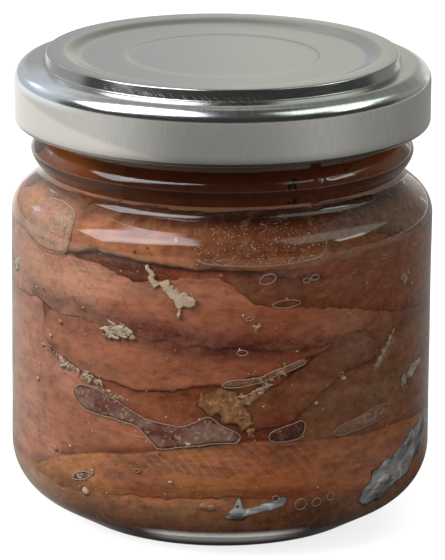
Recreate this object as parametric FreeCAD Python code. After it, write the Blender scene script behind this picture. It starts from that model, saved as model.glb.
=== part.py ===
"""A small round glass jar of anchovy fillets in oil, closed by a pressed steel twist-off lid.

Millimetres. +Z is up, and the origin is the centre of the ring that the jar stands on.
Pieces: jar (glass), lid (steel), fillets (the packed fish, one bundle), oil (fills what is left).
"""

import FreeCAD, Part
import math
import os

from FreeCAD import Vector

# Jar, outside
body_radius = 31.03
jar_height = 68.7
stand_inset = 9.93           # from the body's wall in to the flat ring that the jar stands on
stand_width = 1.4
foot_round = 0.9             # rounding outside that ring
push_up = 0.9                # how far the underside domes up inside it
heel_angle = 29.5            # degrees, slope of the cone between the foot and the heel
heel_radius = 8.5
shoulder_radius = 4.6
shoulder_angle = 50.0        # degrees turned by the shoulder's arc before its cone starts

# Jar, neck and finish, with heights measured down from the rim
neck_radius = 26.4
waist_stand = 0.2            # the waist's radius beyond the neck's
waist_drop = 17.03           # to where the shoulder's curve ends
waist_fillet = 1.3
bead_stand = 1.7
bead_drop = 13.4
bead_half_height = 2.5
lip_inset = 0.8
lip_height = 2.6
lip_round = 0.9
finish_wall = 2.5            # glass between the bore and the neck

# Jar, inside
wall = 2.6
base_thickness = 3.4
inner_heel_radius = 6.0
inner_shoulder_radius = 4.0

# Thread starts on the neck, and the lugs of the lid that turn in under them
thread_count = 4
thread_arc = 54.0            # degrees
thread_reach = 1.9
thread_root = 0.5            # how far a thread's section starts inside the neck
thread_slope = 0.1           # rise of its underside from root to tip
thread_land = 0.9            # height of its outer face
thread_height = 2.4
lug_arc = 22.0               # degrees
lug_gap = 1.3                # between the neck and the lugs' tips
lug_clearance = 0.1

# Lid
steel = 0.4
skirt_clearance = 1.8        # between the threads and the skirt round them
lid_height = 10.3
lip_clearance = 0.25         # between the jar's lip and the wall of the raised rim over it
crest_width = 1.5            # flat top of that rim, which seats on the jar's lip
crest_corner = 1.0
step_drop = 1.65             # from the raised rim down to the outer shelf
step_run = 0.5
corner_radius = 2.3
recess_drop = 0.8
recess_run = 4.0
button_radius = 13.8
button_rise = 0.15
button_run = 0.5
curl_thickness = 1.3

# Contents
head_space = 3.9             # from the rim down to the oil
oil_film = 0.35              # least oil between the fish and the glass
fish_cover = 1.2             # oil above the fish
fillet_thickness = 6.1
groove_depth = 1.5
groove_width = 1.5
layer_wave = 1.6             # how far a layer's edge wanders up and down
pile_round = 5.0             # rounding of the pile's top and bottom edges
section_step = 1.0
section_points = 40

FULL_TURN = 360.0
CUBIC = 3


def at(r, z, angle=0.0):
    """The point at radius r and height z, turned by angle in degrees about the axis."""
    a = math.radians(angle)
    return Vector(r * math.cos(a), r * math.sin(a), z)


def line(p, q):
    return Part.LineSegment(at(*p), at(*q)).toShape()


def arc(centre, radius, start, end):
    """An arc in the profile's plane, from start to end in degrees, 0 pointing outwards and 90 up."""
    def on(t):
        a = math.radians(start + (end - start) * t)
        return at(centre[0] + radius * math.cos(a), centre[1] + radius * math.sin(a))
    return Part.Arc(on(0.0), on(0.5), on(1.0)).toShape()


def smooth(points):
    """A curve through the points."""
    curve = Part.BSplineCurve()
    curve.interpolate([at(*p) for p in points])
    return curve.toShape()


def turned(edges, sweep=FULL_TURN):
    """The solid made by turning a closed outline about the axis."""
    wire = Part.Wire(Part.__sortEdges__(edges))
    piece = Part.Face(wire).revolve(Vector(0, 0, 0), Vector(0, 0, 1), sweep)
    return piece if piece.ShapeType == "Solid" else Part.Solid(piece)


def end_of(edge):
    p = edge.lastVertex(True).Point
    return (p.x, p.z)


# Radii and heights that several pieces share
stand_radius = body_radius - stand_inset
cavity_radius = body_radius - wall
waist_radius = neck_radius + waist_stand
bead_radius = neck_radius + bead_stand
lip_radius = neck_radius - lip_inset
bore_radius = neck_radius - finish_wall
crest_radius = lip_radius + lip_clearance + steel
lid_radius = neck_radius + thread_reach + skirt_clearance + steel
waist_z = jar_height - waist_drop
bead_z = jar_height - bead_drop
oil_z = jar_height - head_space
lid_top_z = jar_height + steel
lid_bottom_z = lid_top_z - lid_height
lug_top_z = lid_bottom_z + curl_thickness
thread_bottom_z = lug_top_z + lug_clearance
pile_bottom_z = base_thickness + oil_film
pile_top_z = oil_z - fish_cover
layer_count = max(int(round((pile_top_z - pile_bottom_z) / fillet_thickness)), 2)


def shoulder_cone():
    """Lower and upper end of the shoulder's cone, which meets the waist in a concave fillet."""
    a = math.radians(shoulder_angle)
    low_r = body_radius - shoulder_radius * (1.0 - math.cos(a))
    high_r = waist_radius + waist_fillet * (1.0 - math.cos(a))
    high_z = waist_z - waist_fillet * math.sin(a)
    return (low_r, high_z - (low_r - high_r) / math.tan(a)), (high_r, high_z)


# Where the straight wall ends and the shoulder's arc starts
wall_top_z = shoulder_cone()[0][1] - shoulder_radius * math.sin(math.radians(shoulder_angle))


def foot_end():
    """Where the foot's rounding meets the cone."""
    a = math.radians(heel_angle)
    return (stand_radius + foot_round * math.sin(a), foot_round * (1.0 - math.cos(a)))


def heel_centre_z():
    """Height of the heel arc's centre, where the arc touches both the wall and the cone."""
    a = math.radians(heel_angle)
    r, z = foot_end()
    across = body_radius - heel_radius - r
    return z + (heel_radius + across * math.sin(a)) / math.cos(a)


def bead_profile(z_offset):
    """Outer radius of the neck bead at a height above or below its middle: half a superellipse."""
    foot = waist_radius if z_offset < 0 else neck_radius
    share = min(abs(z_offset) / bead_half_height, 1.0)
    return foot + (bead_radius - foot) * (1.0 - share ** 2.4) ** 0.75


def jar_outside():
    """The outer profile, from the middle of the underside up to the lip."""
    dome_end = stand_radius - stand_width
    dome_radius = (dome_end ** 2 + push_up ** 2) / (2.0 * push_up)
    half_way = dome_end / 2.0
    dome_drop = dome_radius - math.sqrt(dome_radius ** 2 - half_way ** 2)
    dome = Part.Arc(at(0.0, push_up), at(half_way, push_up - dome_drop), at(dome_end, 0.0))
    edges = [dome.toShape(), line((dome_end, 0.0), (stand_radius, 0.0))]

    edges.append(arc((stand_radius, foot_round), foot_round, -90.0, heel_angle - 90.0))
    heel = arc((body_radius - heel_radius, heel_centre_z()), heel_radius, heel_angle - 90.0, 0.0)
    start = heel.firstVertex(True).Point
    edges.append(line(foot_end(), (start.x, start.z)))
    edges.append(heel)
    edges.append(line((body_radius, heel_centre_z()), (body_radius, wall_top_z)))

    edges.append(arc((body_radius - shoulder_radius, wall_top_z), shoulder_radius, 0.0, shoulder_angle))
    edges.append(line(*shoulder_cone()))
    edges.append(arc((waist_radius + waist_fillet, waist_z), waist_fillet, 180.0 + shoulder_angle, 180.0))

    # The bead starts where its own outline leaves the waist
    steps = [i / 8.0 for i in range(-8, 9)]
    bead = [(bead_profile(s * bead_half_height), bead_z + s * bead_half_height) for s in steps]
    edges.append(line((waist_radius, waist_z), bead[0]))
    edges.append(smooth(bead))

    lip_start_z = jar_height - lip_height
    edges.append(line(bead[-1], (neck_radius, lip_start_z - (neck_radius - lip_radius))))
    edges.append(line((neck_radius, lip_start_z - (neck_radius - lip_radius)), (lip_radius, lip_start_z)))
    edges.append(line((lip_radius, lip_start_z), (lip_radius, jar_height - lip_round)))
    edges.append(arc((lip_radius - lip_round, jar_height - lip_round), lip_round, 0.0, 90.0))
    return edges


def cavity_floor():
    """Profile of the cavity's floor and straight wall, from the axis outwards and up."""
    corner = (cavity_radius - inner_heel_radius, base_thickness + inner_heel_radius)
    return [
        line((0.0, base_thickness), (corner[0], base_thickness)),
        arc(corner, inner_heel_radius, -90.0, 0.0),
        line((cavity_radius, corner[1]), (cavity_radius, wall_top_z)),
    ]


def inner_shoulder():
    """Profile from the straight wall in to the bore: an arc, a cone and the bore's first point."""
    up = arc((cavity_radius - inner_shoulder_radius, wall_top_z), inner_shoulder_radius, 0.0, shoulder_angle)
    r0, z0 = end_of(up)
    z1 = z0 + (r0 - bore_radius) / math.tan(math.radians(shoulder_angle))
    return [up, line((r0, z0), (bore_radius, z1))]


def cavity(top):
    """The space inside the glass, up to a height in the bore."""
    edges = cavity_floor() + inner_shoulder()
    edges.append(line(end_of(edges[-1]), (bore_radius, top)))
    edges.append(line((bore_radius, top), (0.0, top)))
    edges.append(line((0.0, top), (0.0, base_thickness)))
    return turned(edges)


def inside_radius(z):
    """The cavity's radius at a height."""
    corner_z = base_thickness + inner_heel_radius
    if z < corner_z:
        below = max(corner_z - z, 0.0)
        return cavity_radius - inner_heel_radius + math.sqrt(max(inner_heel_radius ** 2 - below ** 2, 0.0))
    if z < wall_top_z:
        return cavity_radius
    a = math.radians(shoulder_angle)
    above = z - wall_top_z
    if above < inner_shoulder_radius * math.sin(a):
        return cavity_radius - inner_shoulder_radius + math.sqrt(inner_shoulder_radius ** 2 - above ** 2)
    arc_end = cavity_radius - inner_shoulder_radius * (1.0 - math.cos(a))
    cone = arc_end - (above - inner_shoulder_radius * math.sin(a)) * math.tan(a)
    return max(cone, bore_radius)


def ring_piece(corners, middle, sweep):
    """A short piece of ring: a section turned through a sweep, centred on an angle round the jar."""
    closed = corners + corners[:1]
    piece = turned([line(p, q) for p, q in zip(closed, closed[1:])], sweep)
    piece.rotate(Vector(0, 0, 0), Vector(0, 0, 1), middle - sweep / 2.0)
    return piece


def with_ring_pieces(body, corners, sweep):
    """The body with a ring piece at each thread start."""
    for i in range(thread_count):
        body = body.fuse(ring_piece(corners, i * FULL_TURN / thread_count, sweep))
    return body.removeSplitter()


def make_jar():
    outside = jar_outside()
    inside = cavity_floor() + inner_shoulder()
    inner_lip = arc((bore_radius + lip_round, jar_height - lip_round), lip_round, 90.0, 180.0)
    edges = outside + inside + [
        line(end_of(outside[-1]), (bore_radius + lip_round, jar_height)),
        inner_lip,
        line(end_of(inner_lip), end_of(inside[-1])),
        line((0.0, base_thickness), (0.0, push_up)),
    ]
    root = neck_radius - thread_root
    tip = neck_radius + thread_reach
    corners = [
        (root, thread_bottom_z),
        (tip, thread_bottom_z + thread_slope),
        (tip, thread_bottom_z + thread_slope + thread_land),
        (root, thread_bottom_z + thread_height),
    ]
    return with_ring_pieces(turned(edges), corners, thread_arc)


def lid_profile(inset):
    """The lid's outline from the axis out and down to the end of its corner, moved into the steel by inset."""
    top = lid_top_z - inset
    recess_z = top - recess_drop
    button_z = recess_z + button_rise
    shelf_z = top - step_drop
    crest_out = crest_radius - crest_corner
    crest_in = crest_out - crest_width
    recess_out = crest_in - recess_run
    edge_round = crest_corner - inset
    edge_r = crest_out + edge_round
    corner = corner_radius - inset
    shelf_out = lid_radius - corner_radius
    ramp = [i / 8.0 for i in range(9)]
    return [
        line((0.0, button_z), (button_radius, button_z)),
        line((button_radius, button_z), (button_radius + button_run, recess_z)),
        line((button_radius + button_run, recess_z), (recess_out, recess_z)),
        smooth([
            (recess_out + recess_run * t, recess_z + recess_drop * (1.0 - math.cos(math.pi * t)) / 2.0)
            for t in ramp
        ]),
        line((crest_in, top), (crest_out, top)),
        arc((crest_out, top - edge_round), edge_round, 90.0, 0.0),
        line((edge_r, top - edge_round), (edge_r + step_run, shelf_z)),
        line((edge_r + step_run, shelf_z), (shelf_out, shelf_z)),
        arc((shelf_out, shelf_z - corner), corner, 90.0, 0.0),
    ]


def make_lid():
    outer = lid_profile(0.0)
    inner = lid_profile(steel)
    curl = curl_thickness / 2.0
    curl_r = lid_radius - curl
    curl_z = lid_bottom_z + curl
    inside_r = lid_radius - steel
    edges = outer + inner + [
        line(end_of(outer[-1]), (lid_radius, curl_z)),
        arc((curl_r, curl_z), curl, 0.0, -180.0),
        arc((curl_r, curl_z), curl, 180.0, 90.0),
        line((curl_r, lug_top_z), (inside_r, lug_top_z + curl)),
        line((inside_r, lug_top_z + curl), end_of(inner[-1])),
        line((0.0, inner[0].Vertexes[0].Z), (0.0, outer[0].Vertexes[0].Z)),
    ]
    lug_tip = neck_radius + lug_gap
    corners = [
        (curl_r, curl_z - curl / 2.0),
        (lug_tip, curl_z),
        (lug_tip, lug_top_z),
        (curl_r, lug_top_z),
    ]
    return with_ring_pieces(turned(edges), corners, lug_arc)


def layer_edge(i, angle):
    """Height of the edge between two layers of fillets at an angle round the jar, in radians."""
    level = pile_bottom_z + i * (pile_top_z - pile_bottom_z) / layer_count
    first = math.sin(angle + 2.1 * i)
    second = math.sin(2.0 * angle + 1.3 * i * i)
    third = math.sin(3.0 * angle + 0.7 * i)
    return level + layer_wave * (0.55 * first + 0.3 * second + 0.15 * third)


def pile_radius(angle, z):
    """Outline of the packed fish: close to the glass, with a rounded groove between its layers."""
    radius = inside_radius(z) - oil_film
    for i in range(1, layer_count):
        away = abs(z - layer_edge(i, angle)) / groove_width
        if away < 1.0:
            depth = groove_depth * (0.75 + 0.25 * math.sin(3.0 * angle + 1.7 * i))
            radius -= depth * (1.0 - away ** 2) ** 2
    end = min(z - pile_bottom_z, pile_top_z - z)
    if end < pile_round:
        radius -= (pile_round - math.sqrt(pile_round ** 2 - (pile_round - end) ** 2))
    return radius


def make_fillets():
    """The packed fish as one solid: a smooth closed side over a grid of outline points, and flat ends."""
    rows = int(round((pile_top_z - pile_bottom_z) / section_step))
    poles = []
    for j in range(section_points):
        angle = 2.0 * math.pi * j / section_points
        heights = [pile_bottom_z + (pile_top_z - pile_bottom_z) * k / rows for k in range(rows + 1)]
        poles.append([at(pile_radius(angle, z), z, math.degrees(angle)) for z in heights])
    spans = rows + 1 - CUBIC
    surface = Part.BSplineSurface()
    surface.buildFromPolesMultsKnots(
        poles,
        [1] * (section_points + 1),
        [CUBIC + 1] + [1] * (spans - 1) + [CUBIC + 1],
        [float(i) for i in range(section_points + 1)],
        [float(i) for i in range(spans + 1)],
        True, False, CUBIC, CUBIC,
    )
    side = surface.toShape()
    ends = [Part.Face(Part.Wire([e])) for e in side.Edges if e.BoundBox.ZLength < 1e-6]
    shell = Part.Shell([side] + ends)
    shell.sewShape()
    return Part.Solid(shell)


def make_oil(fillets):
    """Oil fills the cavity up to its level, round the fish."""
    return cavity(oil_z).cut(fillets)


def main():
    os.makedirs("parts", exist_ok=True)
    fillets = make_fillets()
    pieces = {"jar": make_jar(), "lid": make_lid(), "fillets": fillets, "oil": make_oil(fillets)}
    for name, shape in pieces.items():
        box = shape.BoundBox
        print(
            f"{name}: {shape.ShapeType} solids={len(shape.Solids)} valid={shape.isValid()}"
            f" volume={shape.Volume / 1000.0:.2f} cm3 faces={len(shape.Faces)}"
            f" z {box.ZMin:.2f}..{box.ZMax:.2f} r {box.XMax:.2f}"
        )
        shape.exportStep(f"parts/{name}.step")


main()
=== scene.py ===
"""Looks for the jar of anchovy fillets: glass, lid, oil and fish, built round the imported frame.

Sizes are in millimetres and angles in degrees until a mesh is made. Angle 0 faces the camera (-Y),
and angles grow towards +X.
"""

import math
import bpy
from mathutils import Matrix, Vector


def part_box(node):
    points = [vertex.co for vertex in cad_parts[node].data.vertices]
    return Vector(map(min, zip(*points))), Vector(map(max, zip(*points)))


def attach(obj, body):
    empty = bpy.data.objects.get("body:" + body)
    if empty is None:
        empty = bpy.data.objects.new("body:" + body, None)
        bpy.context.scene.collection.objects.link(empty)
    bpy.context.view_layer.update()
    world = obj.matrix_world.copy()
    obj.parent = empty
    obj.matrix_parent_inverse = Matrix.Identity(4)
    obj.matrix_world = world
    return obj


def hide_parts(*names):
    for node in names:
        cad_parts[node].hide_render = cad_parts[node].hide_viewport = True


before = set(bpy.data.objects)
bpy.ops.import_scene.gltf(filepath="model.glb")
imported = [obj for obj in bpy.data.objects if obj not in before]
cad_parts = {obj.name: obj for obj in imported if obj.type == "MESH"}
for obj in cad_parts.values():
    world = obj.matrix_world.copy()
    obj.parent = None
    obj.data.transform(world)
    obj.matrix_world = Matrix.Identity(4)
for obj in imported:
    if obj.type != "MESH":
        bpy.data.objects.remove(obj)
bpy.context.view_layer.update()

from types import SimpleNamespace

import bmesh
import bpy
import numpy as np
from mathutils import Matrix, Vector

MM = 0.001
JAR_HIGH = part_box("jar")[1]
LID_LOW, LID_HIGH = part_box("lid")
OIL_LOW, OIL_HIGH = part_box("oil")

# Sizes that the frame gives
BODY_RADIUS = JAR_HIGH.x / MM
JAR_HEIGHT = JAR_HIGH.z / MM
CAVITY_RADIUS = OIL_HIGH.x / MM
FLOOR_Z = OIL_LOW.z / MM
OIL_Z = OIL_HIGH.z / MM
LID_RADIUS = LID_HIGH.x / MM
LID_TOP_Z = LID_HIGH.z / MM
LID_BOTTOM_Z = LID_LOW.z / MM

# The glass's other sizes, as the frame's own jar has them
STAND_RADIUS = BODY_RADIUS - 9.93
STAND_WIDTH = 1.4
FOOT_ROUND = 0.9
PUSH_UP = 0.9
HEEL_ANGLE = 29.5
HEEL_RADIUS = 8.5
SHOULDER_RADIUS = 4.6
SHOULDER_ANGLE = 50.0
NECK_RADIUS = 26.4
WAIST_RADIUS = NECK_RADIUS + 0.2
WAIST_Z = JAR_HEIGHT - 16.71
WAIST_FILLET = 2.0
BEAD_RADIUS = NECK_RADIUS + 1.7
BEAD_Z = JAR_HEIGHT - 13.95
BEAD_HALF = 2.5
LIP_RADIUS = NECK_RADIUS - 0.8
LIP_HEIGHT = 2.6
LIP_ROUND = 0.9
BORE_RADIUS = NECK_RADIUS - 2.5
INNER_HEEL_RADIUS = 6.0
INNER_SHOULDER_RADIUS = 4.0
THREADS = 4
THREAD_ARC = 54.0
THREAD_REACH = 1.9
THREAD_FLAT = 1.0
THREAD_RISE = 2.4
THREAD_Z = LID_BOTTOM_Z + 1.4
SEAM_ANGLE = 30.0
SEAM_HEIGHT = 0.42
SEAM_WIDTH = 0.6
SEAM_DROP = 1.0          # how far below the waist the seam still shows


# ---------------------------------------------------------------- noise

def lattice(ix, iy, seed):
    """A repeatable random value from 0 to 1 for each whole-number grid point."""
    h = ix.astype(np.int64) * 374761393 + iy.astype(np.int64) * 668265263 + int(seed) * 974634777
    h = h & 0xFFFFFFFF
    h = ((h ^ (h >> 13)) * 1274126177) & 0xFFFFFFFF
    return ((h ^ (h >> 16)) & 0xFFFF) / 65535.0


def noise(x, y, seed=0):
    """Smooth noise from -1 to 1, with features about one unit across."""
    x, y = np.broadcast_arrays(np.asarray(x, float), np.asarray(y, float))
    x0, y0 = np.floor(x), np.floor(y)
    fx, fy = x - x0, y - y0
    fx, fy = fx * fx * (3 - 2 * fx), fy * fy * (3 - 2 * fy)
    a, b = lattice(x0, y0, seed), lattice(x0 + 1, y0, seed)
    c, d = lattice(x0, y0 + 1, seed), lattice(x0 + 1, y0 + 1, seed)
    return 2 * ((a * (1 - fx) + b * fx) * (1 - fy) + (c * (1 - fx) + d * fx) * fy) - 1


def rough(x, y, seed=0, octaves=4):
    """Noise with finer and finer detail."""
    total = sum(noise(x * 2 ** k, y * 2 ** k, seed + 17 * k) / 2 ** k for k in range(octaves))
    return total / 1.6


def smoothstep(t):
    """0 below 0, 1 above 1, and a smooth rise between."""
    t = np.clip(t, 0, 1)
    return t * t * (3 - 2 * t)


def rounded(t, least=0.0):
    """A quarter circle's rise from 0 to 1, with the square of its height kept above least."""
    return np.sqrt(np.clip(1 - (1 - np.clip(t, 0, 1)) ** 2, least, 1))


# ---------------------------------------------------------------- profiles of the glass

def arc(centre, radius, start, end, steps):
    """Points on an arc in the (radius, height) plane, 0 degrees outwards and 90 up."""
    a = np.radians(np.linspace(start, end, steps + 1))
    return [(centre[0] + radius * math.cos(t), centre[1] + radius * math.sin(t)) for t in a]


def run(p, q, longest=1.2):
    """Points between p and q, both left out."""
    n = max(int(math.ceil(math.dist(p, q) / longest)), 1)
    return [(p[0] + (q[0] - p[0]) * k / n, p[1] + (q[1] - p[1]) * k / n) for k in range(1, n)]


def joined(*stretches):
    """Stretches of points one after another, with points filled in between them."""
    points = list(stretches[0])
    for stretch in stretches[1:]:
        points += run(points[-1], stretch[0]) + list(stretch)
    return points


def shoulder_cone():
    """The lower and upper ends of the straight slope between the shoulder and the waist."""
    a = math.radians(SHOULDER_ANGLE)
    low_r = BODY_RADIUS - SHOULDER_RADIUS * (1 - math.cos(a))
    high_r = WAIST_RADIUS + WAIST_FILLET * (1 - math.cos(a))
    high_z = WAIST_Z - WAIST_FILLET * math.sin(a)
    return (low_r, high_z - (low_r - high_r) / math.tan(a)), (high_r, high_z)


WALL_TOP_Z = shoulder_cone()[0][1] - SHOULDER_RADIUS * math.sin(math.radians(SHOULDER_ANGLE))


def bead_point(share):
    """A point of the neck bead, from its lower edge at -1 to its upper edge at 1."""
    foot = WAIST_RADIUS if share < 0 else NECK_RADIUS
    return (foot + (BEAD_RADIUS - foot) * (1 - abs(share) ** 1.6) ** 0.92, BEAD_Z + share * BEAD_HALF)


def glass_outside():
    """From the middle of the underside up to the lip."""
    dome_end = STAND_RADIUS - STAND_WIDTH
    dome_radius = (dome_end ** 2 + PUSH_UP ** 2) / (2 * PUSH_UP)
    half = math.degrees(math.asin(dome_end / dome_radius))
    a = math.radians(HEEL_ANGLE)
    foot = (STAND_RADIUS + FOOT_ROUND * math.sin(a), FOOT_ROUND * (1 - math.cos(a)))
    across = BODY_RADIUS - HEEL_RADIUS - foot[0]
    heel_z = foot[1] + (HEEL_RADIUS + across * math.sin(a)) / math.cos(a)
    lip_z = JAR_HEIGHT - LIP_HEIGHT
    inset = NECK_RADIUS - LIP_RADIUS
    return joined(
        arc((0, PUSH_UP - dome_radius), dome_radius, 90, 90 - half, 24),
        arc((STAND_RADIUS, FOOT_ROUND), FOOT_ROUND, -90, HEEL_ANGLE - 90, 5),
        arc((BODY_RADIUS - HEEL_RADIUS, heel_z), HEEL_RADIUS, HEEL_ANGLE - 90, 0, 22),
        arc((BODY_RADIUS - SHOULDER_RADIUS, WALL_TOP_Z), SHOULDER_RADIUS, 0, SHOULDER_ANGLE, 14),
        arc((WAIST_RADIUS + WAIST_FILLET, WAIST_Z), WAIST_FILLET, 180 + SHOULDER_ANGLE, 180, 7),
        [bead_point(math.sin(math.pi * k / 40)) for k in range(-20, 21)],
        [(NECK_RADIUS, THREAD_Z + dz) for dz in (-0.05, 0.05, 0.3, 0.6, 0.95, 1.2, 1.6, 2.0, 2.4)],
        [(NECK_RADIUS, lip_z - inset), (LIP_RADIUS, lip_z)],
        arc((LIP_RADIUS - LIP_ROUND, JAR_HEIGHT - LIP_ROUND), LIP_ROUND, 0, 90, 6),
    )


def glass_inside(grow=0.0):
    """From the bore down to the middle of the cavity's floor, moved into the glass by grow."""
    corner_z = FLOOR_Z + INNER_HEEL_RADIUS
    start = arc((CAVITY_RADIUS - INNER_SHOULDER_RADIUS, WALL_TOP_Z), INNER_SHOULDER_RADIUS + grow,
                SHOULDER_ANGLE, 0, 10)
    r0, z0 = start[0]
    bore = BORE_RADIUS + grow
    cone_end = (bore, z0 + (r0 - bore) / math.tan(math.radians(SHOULDER_ANGLE)))
    return joined(
        [cone_end],
        start,
        arc((CAVITY_RADIUS - INNER_HEEL_RADIUS, corner_z), INNER_HEEL_RADIUS + grow, 0, -90, 16),
        [(0, FLOOR_Z - grow)],
    )


def inside_radius(z):
    """The cavity's radius at a height."""
    z = np.asarray(z, float)
    a = math.radians(SHOULDER_ANGLE)
    corner_z = FLOOR_Z + INNER_HEEL_RADIUS
    below = np.clip(corner_z - z, 0, INNER_HEEL_RADIUS)
    heel = CAVITY_RADIUS - INNER_HEEL_RADIUS + np.sqrt(INNER_HEEL_RADIUS ** 2 - below ** 2)
    above = np.clip(z - WALL_TOP_Z, 0, None)
    on_arc = np.clip(above, 0, INNER_SHOULDER_RADIUS * math.sin(a))
    shoulder = CAVITY_RADIUS - INNER_SHOULDER_RADIUS + np.sqrt(INNER_SHOULDER_RADIUS ** 2 - on_arc ** 2)
    shoulder = shoulder - (above - on_arc) * math.tan(a)
    return np.where(z < WALL_TOP_Z, heel, np.maximum(shoulder, BORE_RADIUS))


# ---------------------------------------------------------------- meshes

def grid_faces(rows, columns, start=0, rows_close=False, columns_close=False):
    """Faces of a grid of points kept row by row, which may close up on itself either way."""
    down = [(start + i * columns, start + (i + 1) % rows * columns)
            for i in range(rows if rows_close else rows - 1)]
    across = [(j, (j + 1) % columns) for j in range(columns if columns_close else columns - 1)]
    return [(low + j, low + n, high + n, high + j) for low, high in down for j, n in across]


def store(mesh, name, values):
    """Keeps three or four numbers for each point, as a vector or as a colour."""
    kind, field = ("FLOAT_COLOR", "color") if values.shape[-1] == 4 else ("FLOAT_VECTOR", "vector")
    kept = mesh.attributes.new(name, kind, "POINT")
    kept.data.foreach_set(field, values.astype(np.float32).ravel())


def opaque(colours):
    """Colours with a fourth number of 1."""
    return np.hstack([colours, np.ones((len(colours), 1))])


def placed(name, data):
    """A new object in the scene."""
    thing = bpy.data.objects.new(name, data)
    bpy.context.scene.collection.objects.link(thing)
    return thing


def new_piece(name, vertices, faces, materials, sharp=None):
    """A piece of the object, from points in millimetres."""
    mesh = bpy.data.meshes.new(name)
    mesh.from_pydata((np.asarray(vertices) * MM).tolist(), [], faces)
    mesh.shade_smooth()
    if sharp:
        mesh.set_sharp_from_angle(angle=math.radians(sharp))
    for m in materials:
        mesh.materials.append(m)
    piece = placed(name, mesh)
    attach(piece, "root")
    return piece


def on_jar(radius, angle, z):
    """Points at a radius, an angle from the front and a height."""
    a = np.radians(angle)
    return np.stack(np.broadcast_arrays(radius * np.sin(a), -radius * np.cos(a), z), axis=-1)


def lathe(name, profile, turns, materials, reshape=None, second_from=None, sharp=None):
    """Turns a profile from axis to axis. reshape(radius, height, angle) may move its points.

    second_from(low point, high point) says which stretches get the second material.
    """
    points = np.array(profile, float)
    area = np.sum(points[:-1, 0] * points[1:, 1] - points[1:, 0] * points[:-1, 1])
    if area < 0:
        points = points[::-1]
    angle = np.arange(turns) * 360.0 / turns
    angle = np.where(angle > 180, angle - 360, angle)
    r = np.repeat(points[1:-1, 0][:, None], turns, 1)
    z = np.repeat(points[1:-1, 1][:, None], turns, 1)
    a = np.repeat(angle[None, :], len(points) - 2, 0)
    if reshape:
        r, z = reshape(r, z, a)
    rings = on_jar(r, a, z).reshape(-1, 3)
    vertices = np.vstack([rings, [[0, 0, points[0, 1]], [0, 0, points[-1, 1]]]])
    count = len(points) - 2
    first, last = len(rings), len(rings) + 1
    top = (count - 1) * turns
    step = [(j, (j + 1) % turns) for j in range(turns)]
    faces = [(first, n, j) for j, n in step]
    faces += grid_faces(count, turns, columns_close=True)
    faces += [(last, top + j, top + n) for j, n in step]
    piece = new_piece(name, vertices, faces, materials, sharp)
    if second_from:
        kinds = [int(second_from(points[i], points[i + 1])) for i in range(count + 1)]
        piece.data.polygons.foreach_set("material_index", np.repeat(kinds, turns))
    place = np.vstack([np.stack([a, z, r], -1).reshape(-1, 3), [[0, points[0, 1], 0], [0, points[-1, 1], 0]]])
    store(piece.data, "turned", place)
    return piece


# ---------------------------------------------------------------- materials

def material(name, **sockets):
    """A material with one Principled shader, with its node tree and the shader."""
    m = bpy.data.materials.new(name)
    m.use_nodes = True
    shader = m.node_tree.nodes["Principled BSDF"]
    for key, value in sockets.items():
        shader.inputs[key.replace("_", " ")].default_value = value
    return m, m.node_tree, shader


def node(tree, kind, inputs=(), **settings):
    """A shader node with its settings. Each input is given as a socket to link or a plain value."""
    made = tree.nodes.new("ShaderNode" + kind)
    for key, value in settings.items():
        setattr(made, key, value)
    for key, value in dict(inputs).items():
        if isinstance(value, bpy.types.NodeSocket):
            tree.links.new(value, made.inputs[key])
        else:
            made.inputs[key].default_value = value
    return made


def any_of(tree, *sockets):
    """1 where any of the sockets is 1."""
    result = sockets[0]
    for socket in sockets[1:]:
        result = node(tree, "Math", {0: result, 1: socket}, operation="MAXIMUM").outputs[0]
    return result


def glass_material(name, ior):
    """Clear, and lamps and soft light pass straight through it."""
    m, tree, shader = material(name, Transmission_Weight=1.0, Roughness=0.0, IOR=ior, Base_Color=(1, 1, 1, 1))
    path = node(tree, "LightPath").outputs
    clear = node(tree, "BsdfTransparent", {"Color": (0.97, 0.97, 0.97, 1)}).outputs[0]
    soft = any_of(tree, path["Is Shadow Ray"], path["Is Diffuse Ray"])
    mix = node(tree, "MixShader", {0: soft, 1: shader.outputs[0], 2: clear}).outputs[0]
    tree.links.new(mix, tree.nodes["Material Output"].inputs["Surface"])
    return m


def oil_material(name, ior):
    """Clear like glass, and amber where it is deep."""
    m = glass_material(name, ior)
    tree = m.node_tree
    absorb = node(tree, "VolumeAbsorption", {"Color": (0.82, 0.52, 0.20, 1), "Density": 300.0})
    tree.links.new(absorb.outputs[0], tree.nodes["Material Output"].inputs["Volume"])
    return m


def link_noise(tree, coordinate, scale, detail=3.0, roughness=0.5, stretch=(1, 1, 1)):
    """A noise texture on a coordinate, with its own stretch."""
    stretched = node(tree, "Mapping", {"Scale": stretch, "Vector": coordinate}).outputs[0]
    inputs = {"Scale": scale, "Detail": detail, "Roughness": roughness, "Vector": stretched}
    return node(tree, "TexNoise", inputs).outputs[0]


def ranged(tree, value, low, high, to_low=0.0, to_high=1.0):
    """A value moved from one range to another, and held inside it."""
    inputs = {"Value": value, "From Min": low, "From Max": high, "To Min": to_low, "To Max": to_high}
    return node(tree, "MapRange", inputs).outputs[0]


def tinted(tree, colour, factor, other, blend="MIX"):
    """colour mixed with other by factor. Each colour may be a socket or a plain value."""
    first, second = ((*value, 1) if isinstance(value, tuple) else value for value in (colour, other))
    return node(tree, "Mix", {0: factor, 6: first, 7: second}, data_type="RGBA", blend_type=blend).outputs[2]


def bumped(tree, shader, height, distance, strength=1.0):
    """Gives the shader small bumps from a height."""
    bump = node(tree, "Bump", {"Strength": strength, "Distance": distance, "Height": height})
    tree.links.new(bump.outputs[0], shader.inputs["Normal"])


def attribute(tree, name, output):
    """What a mesh stores on its points under a name."""
    return node(tree, "Attribute", attribute_name=name).outputs[output]


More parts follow.
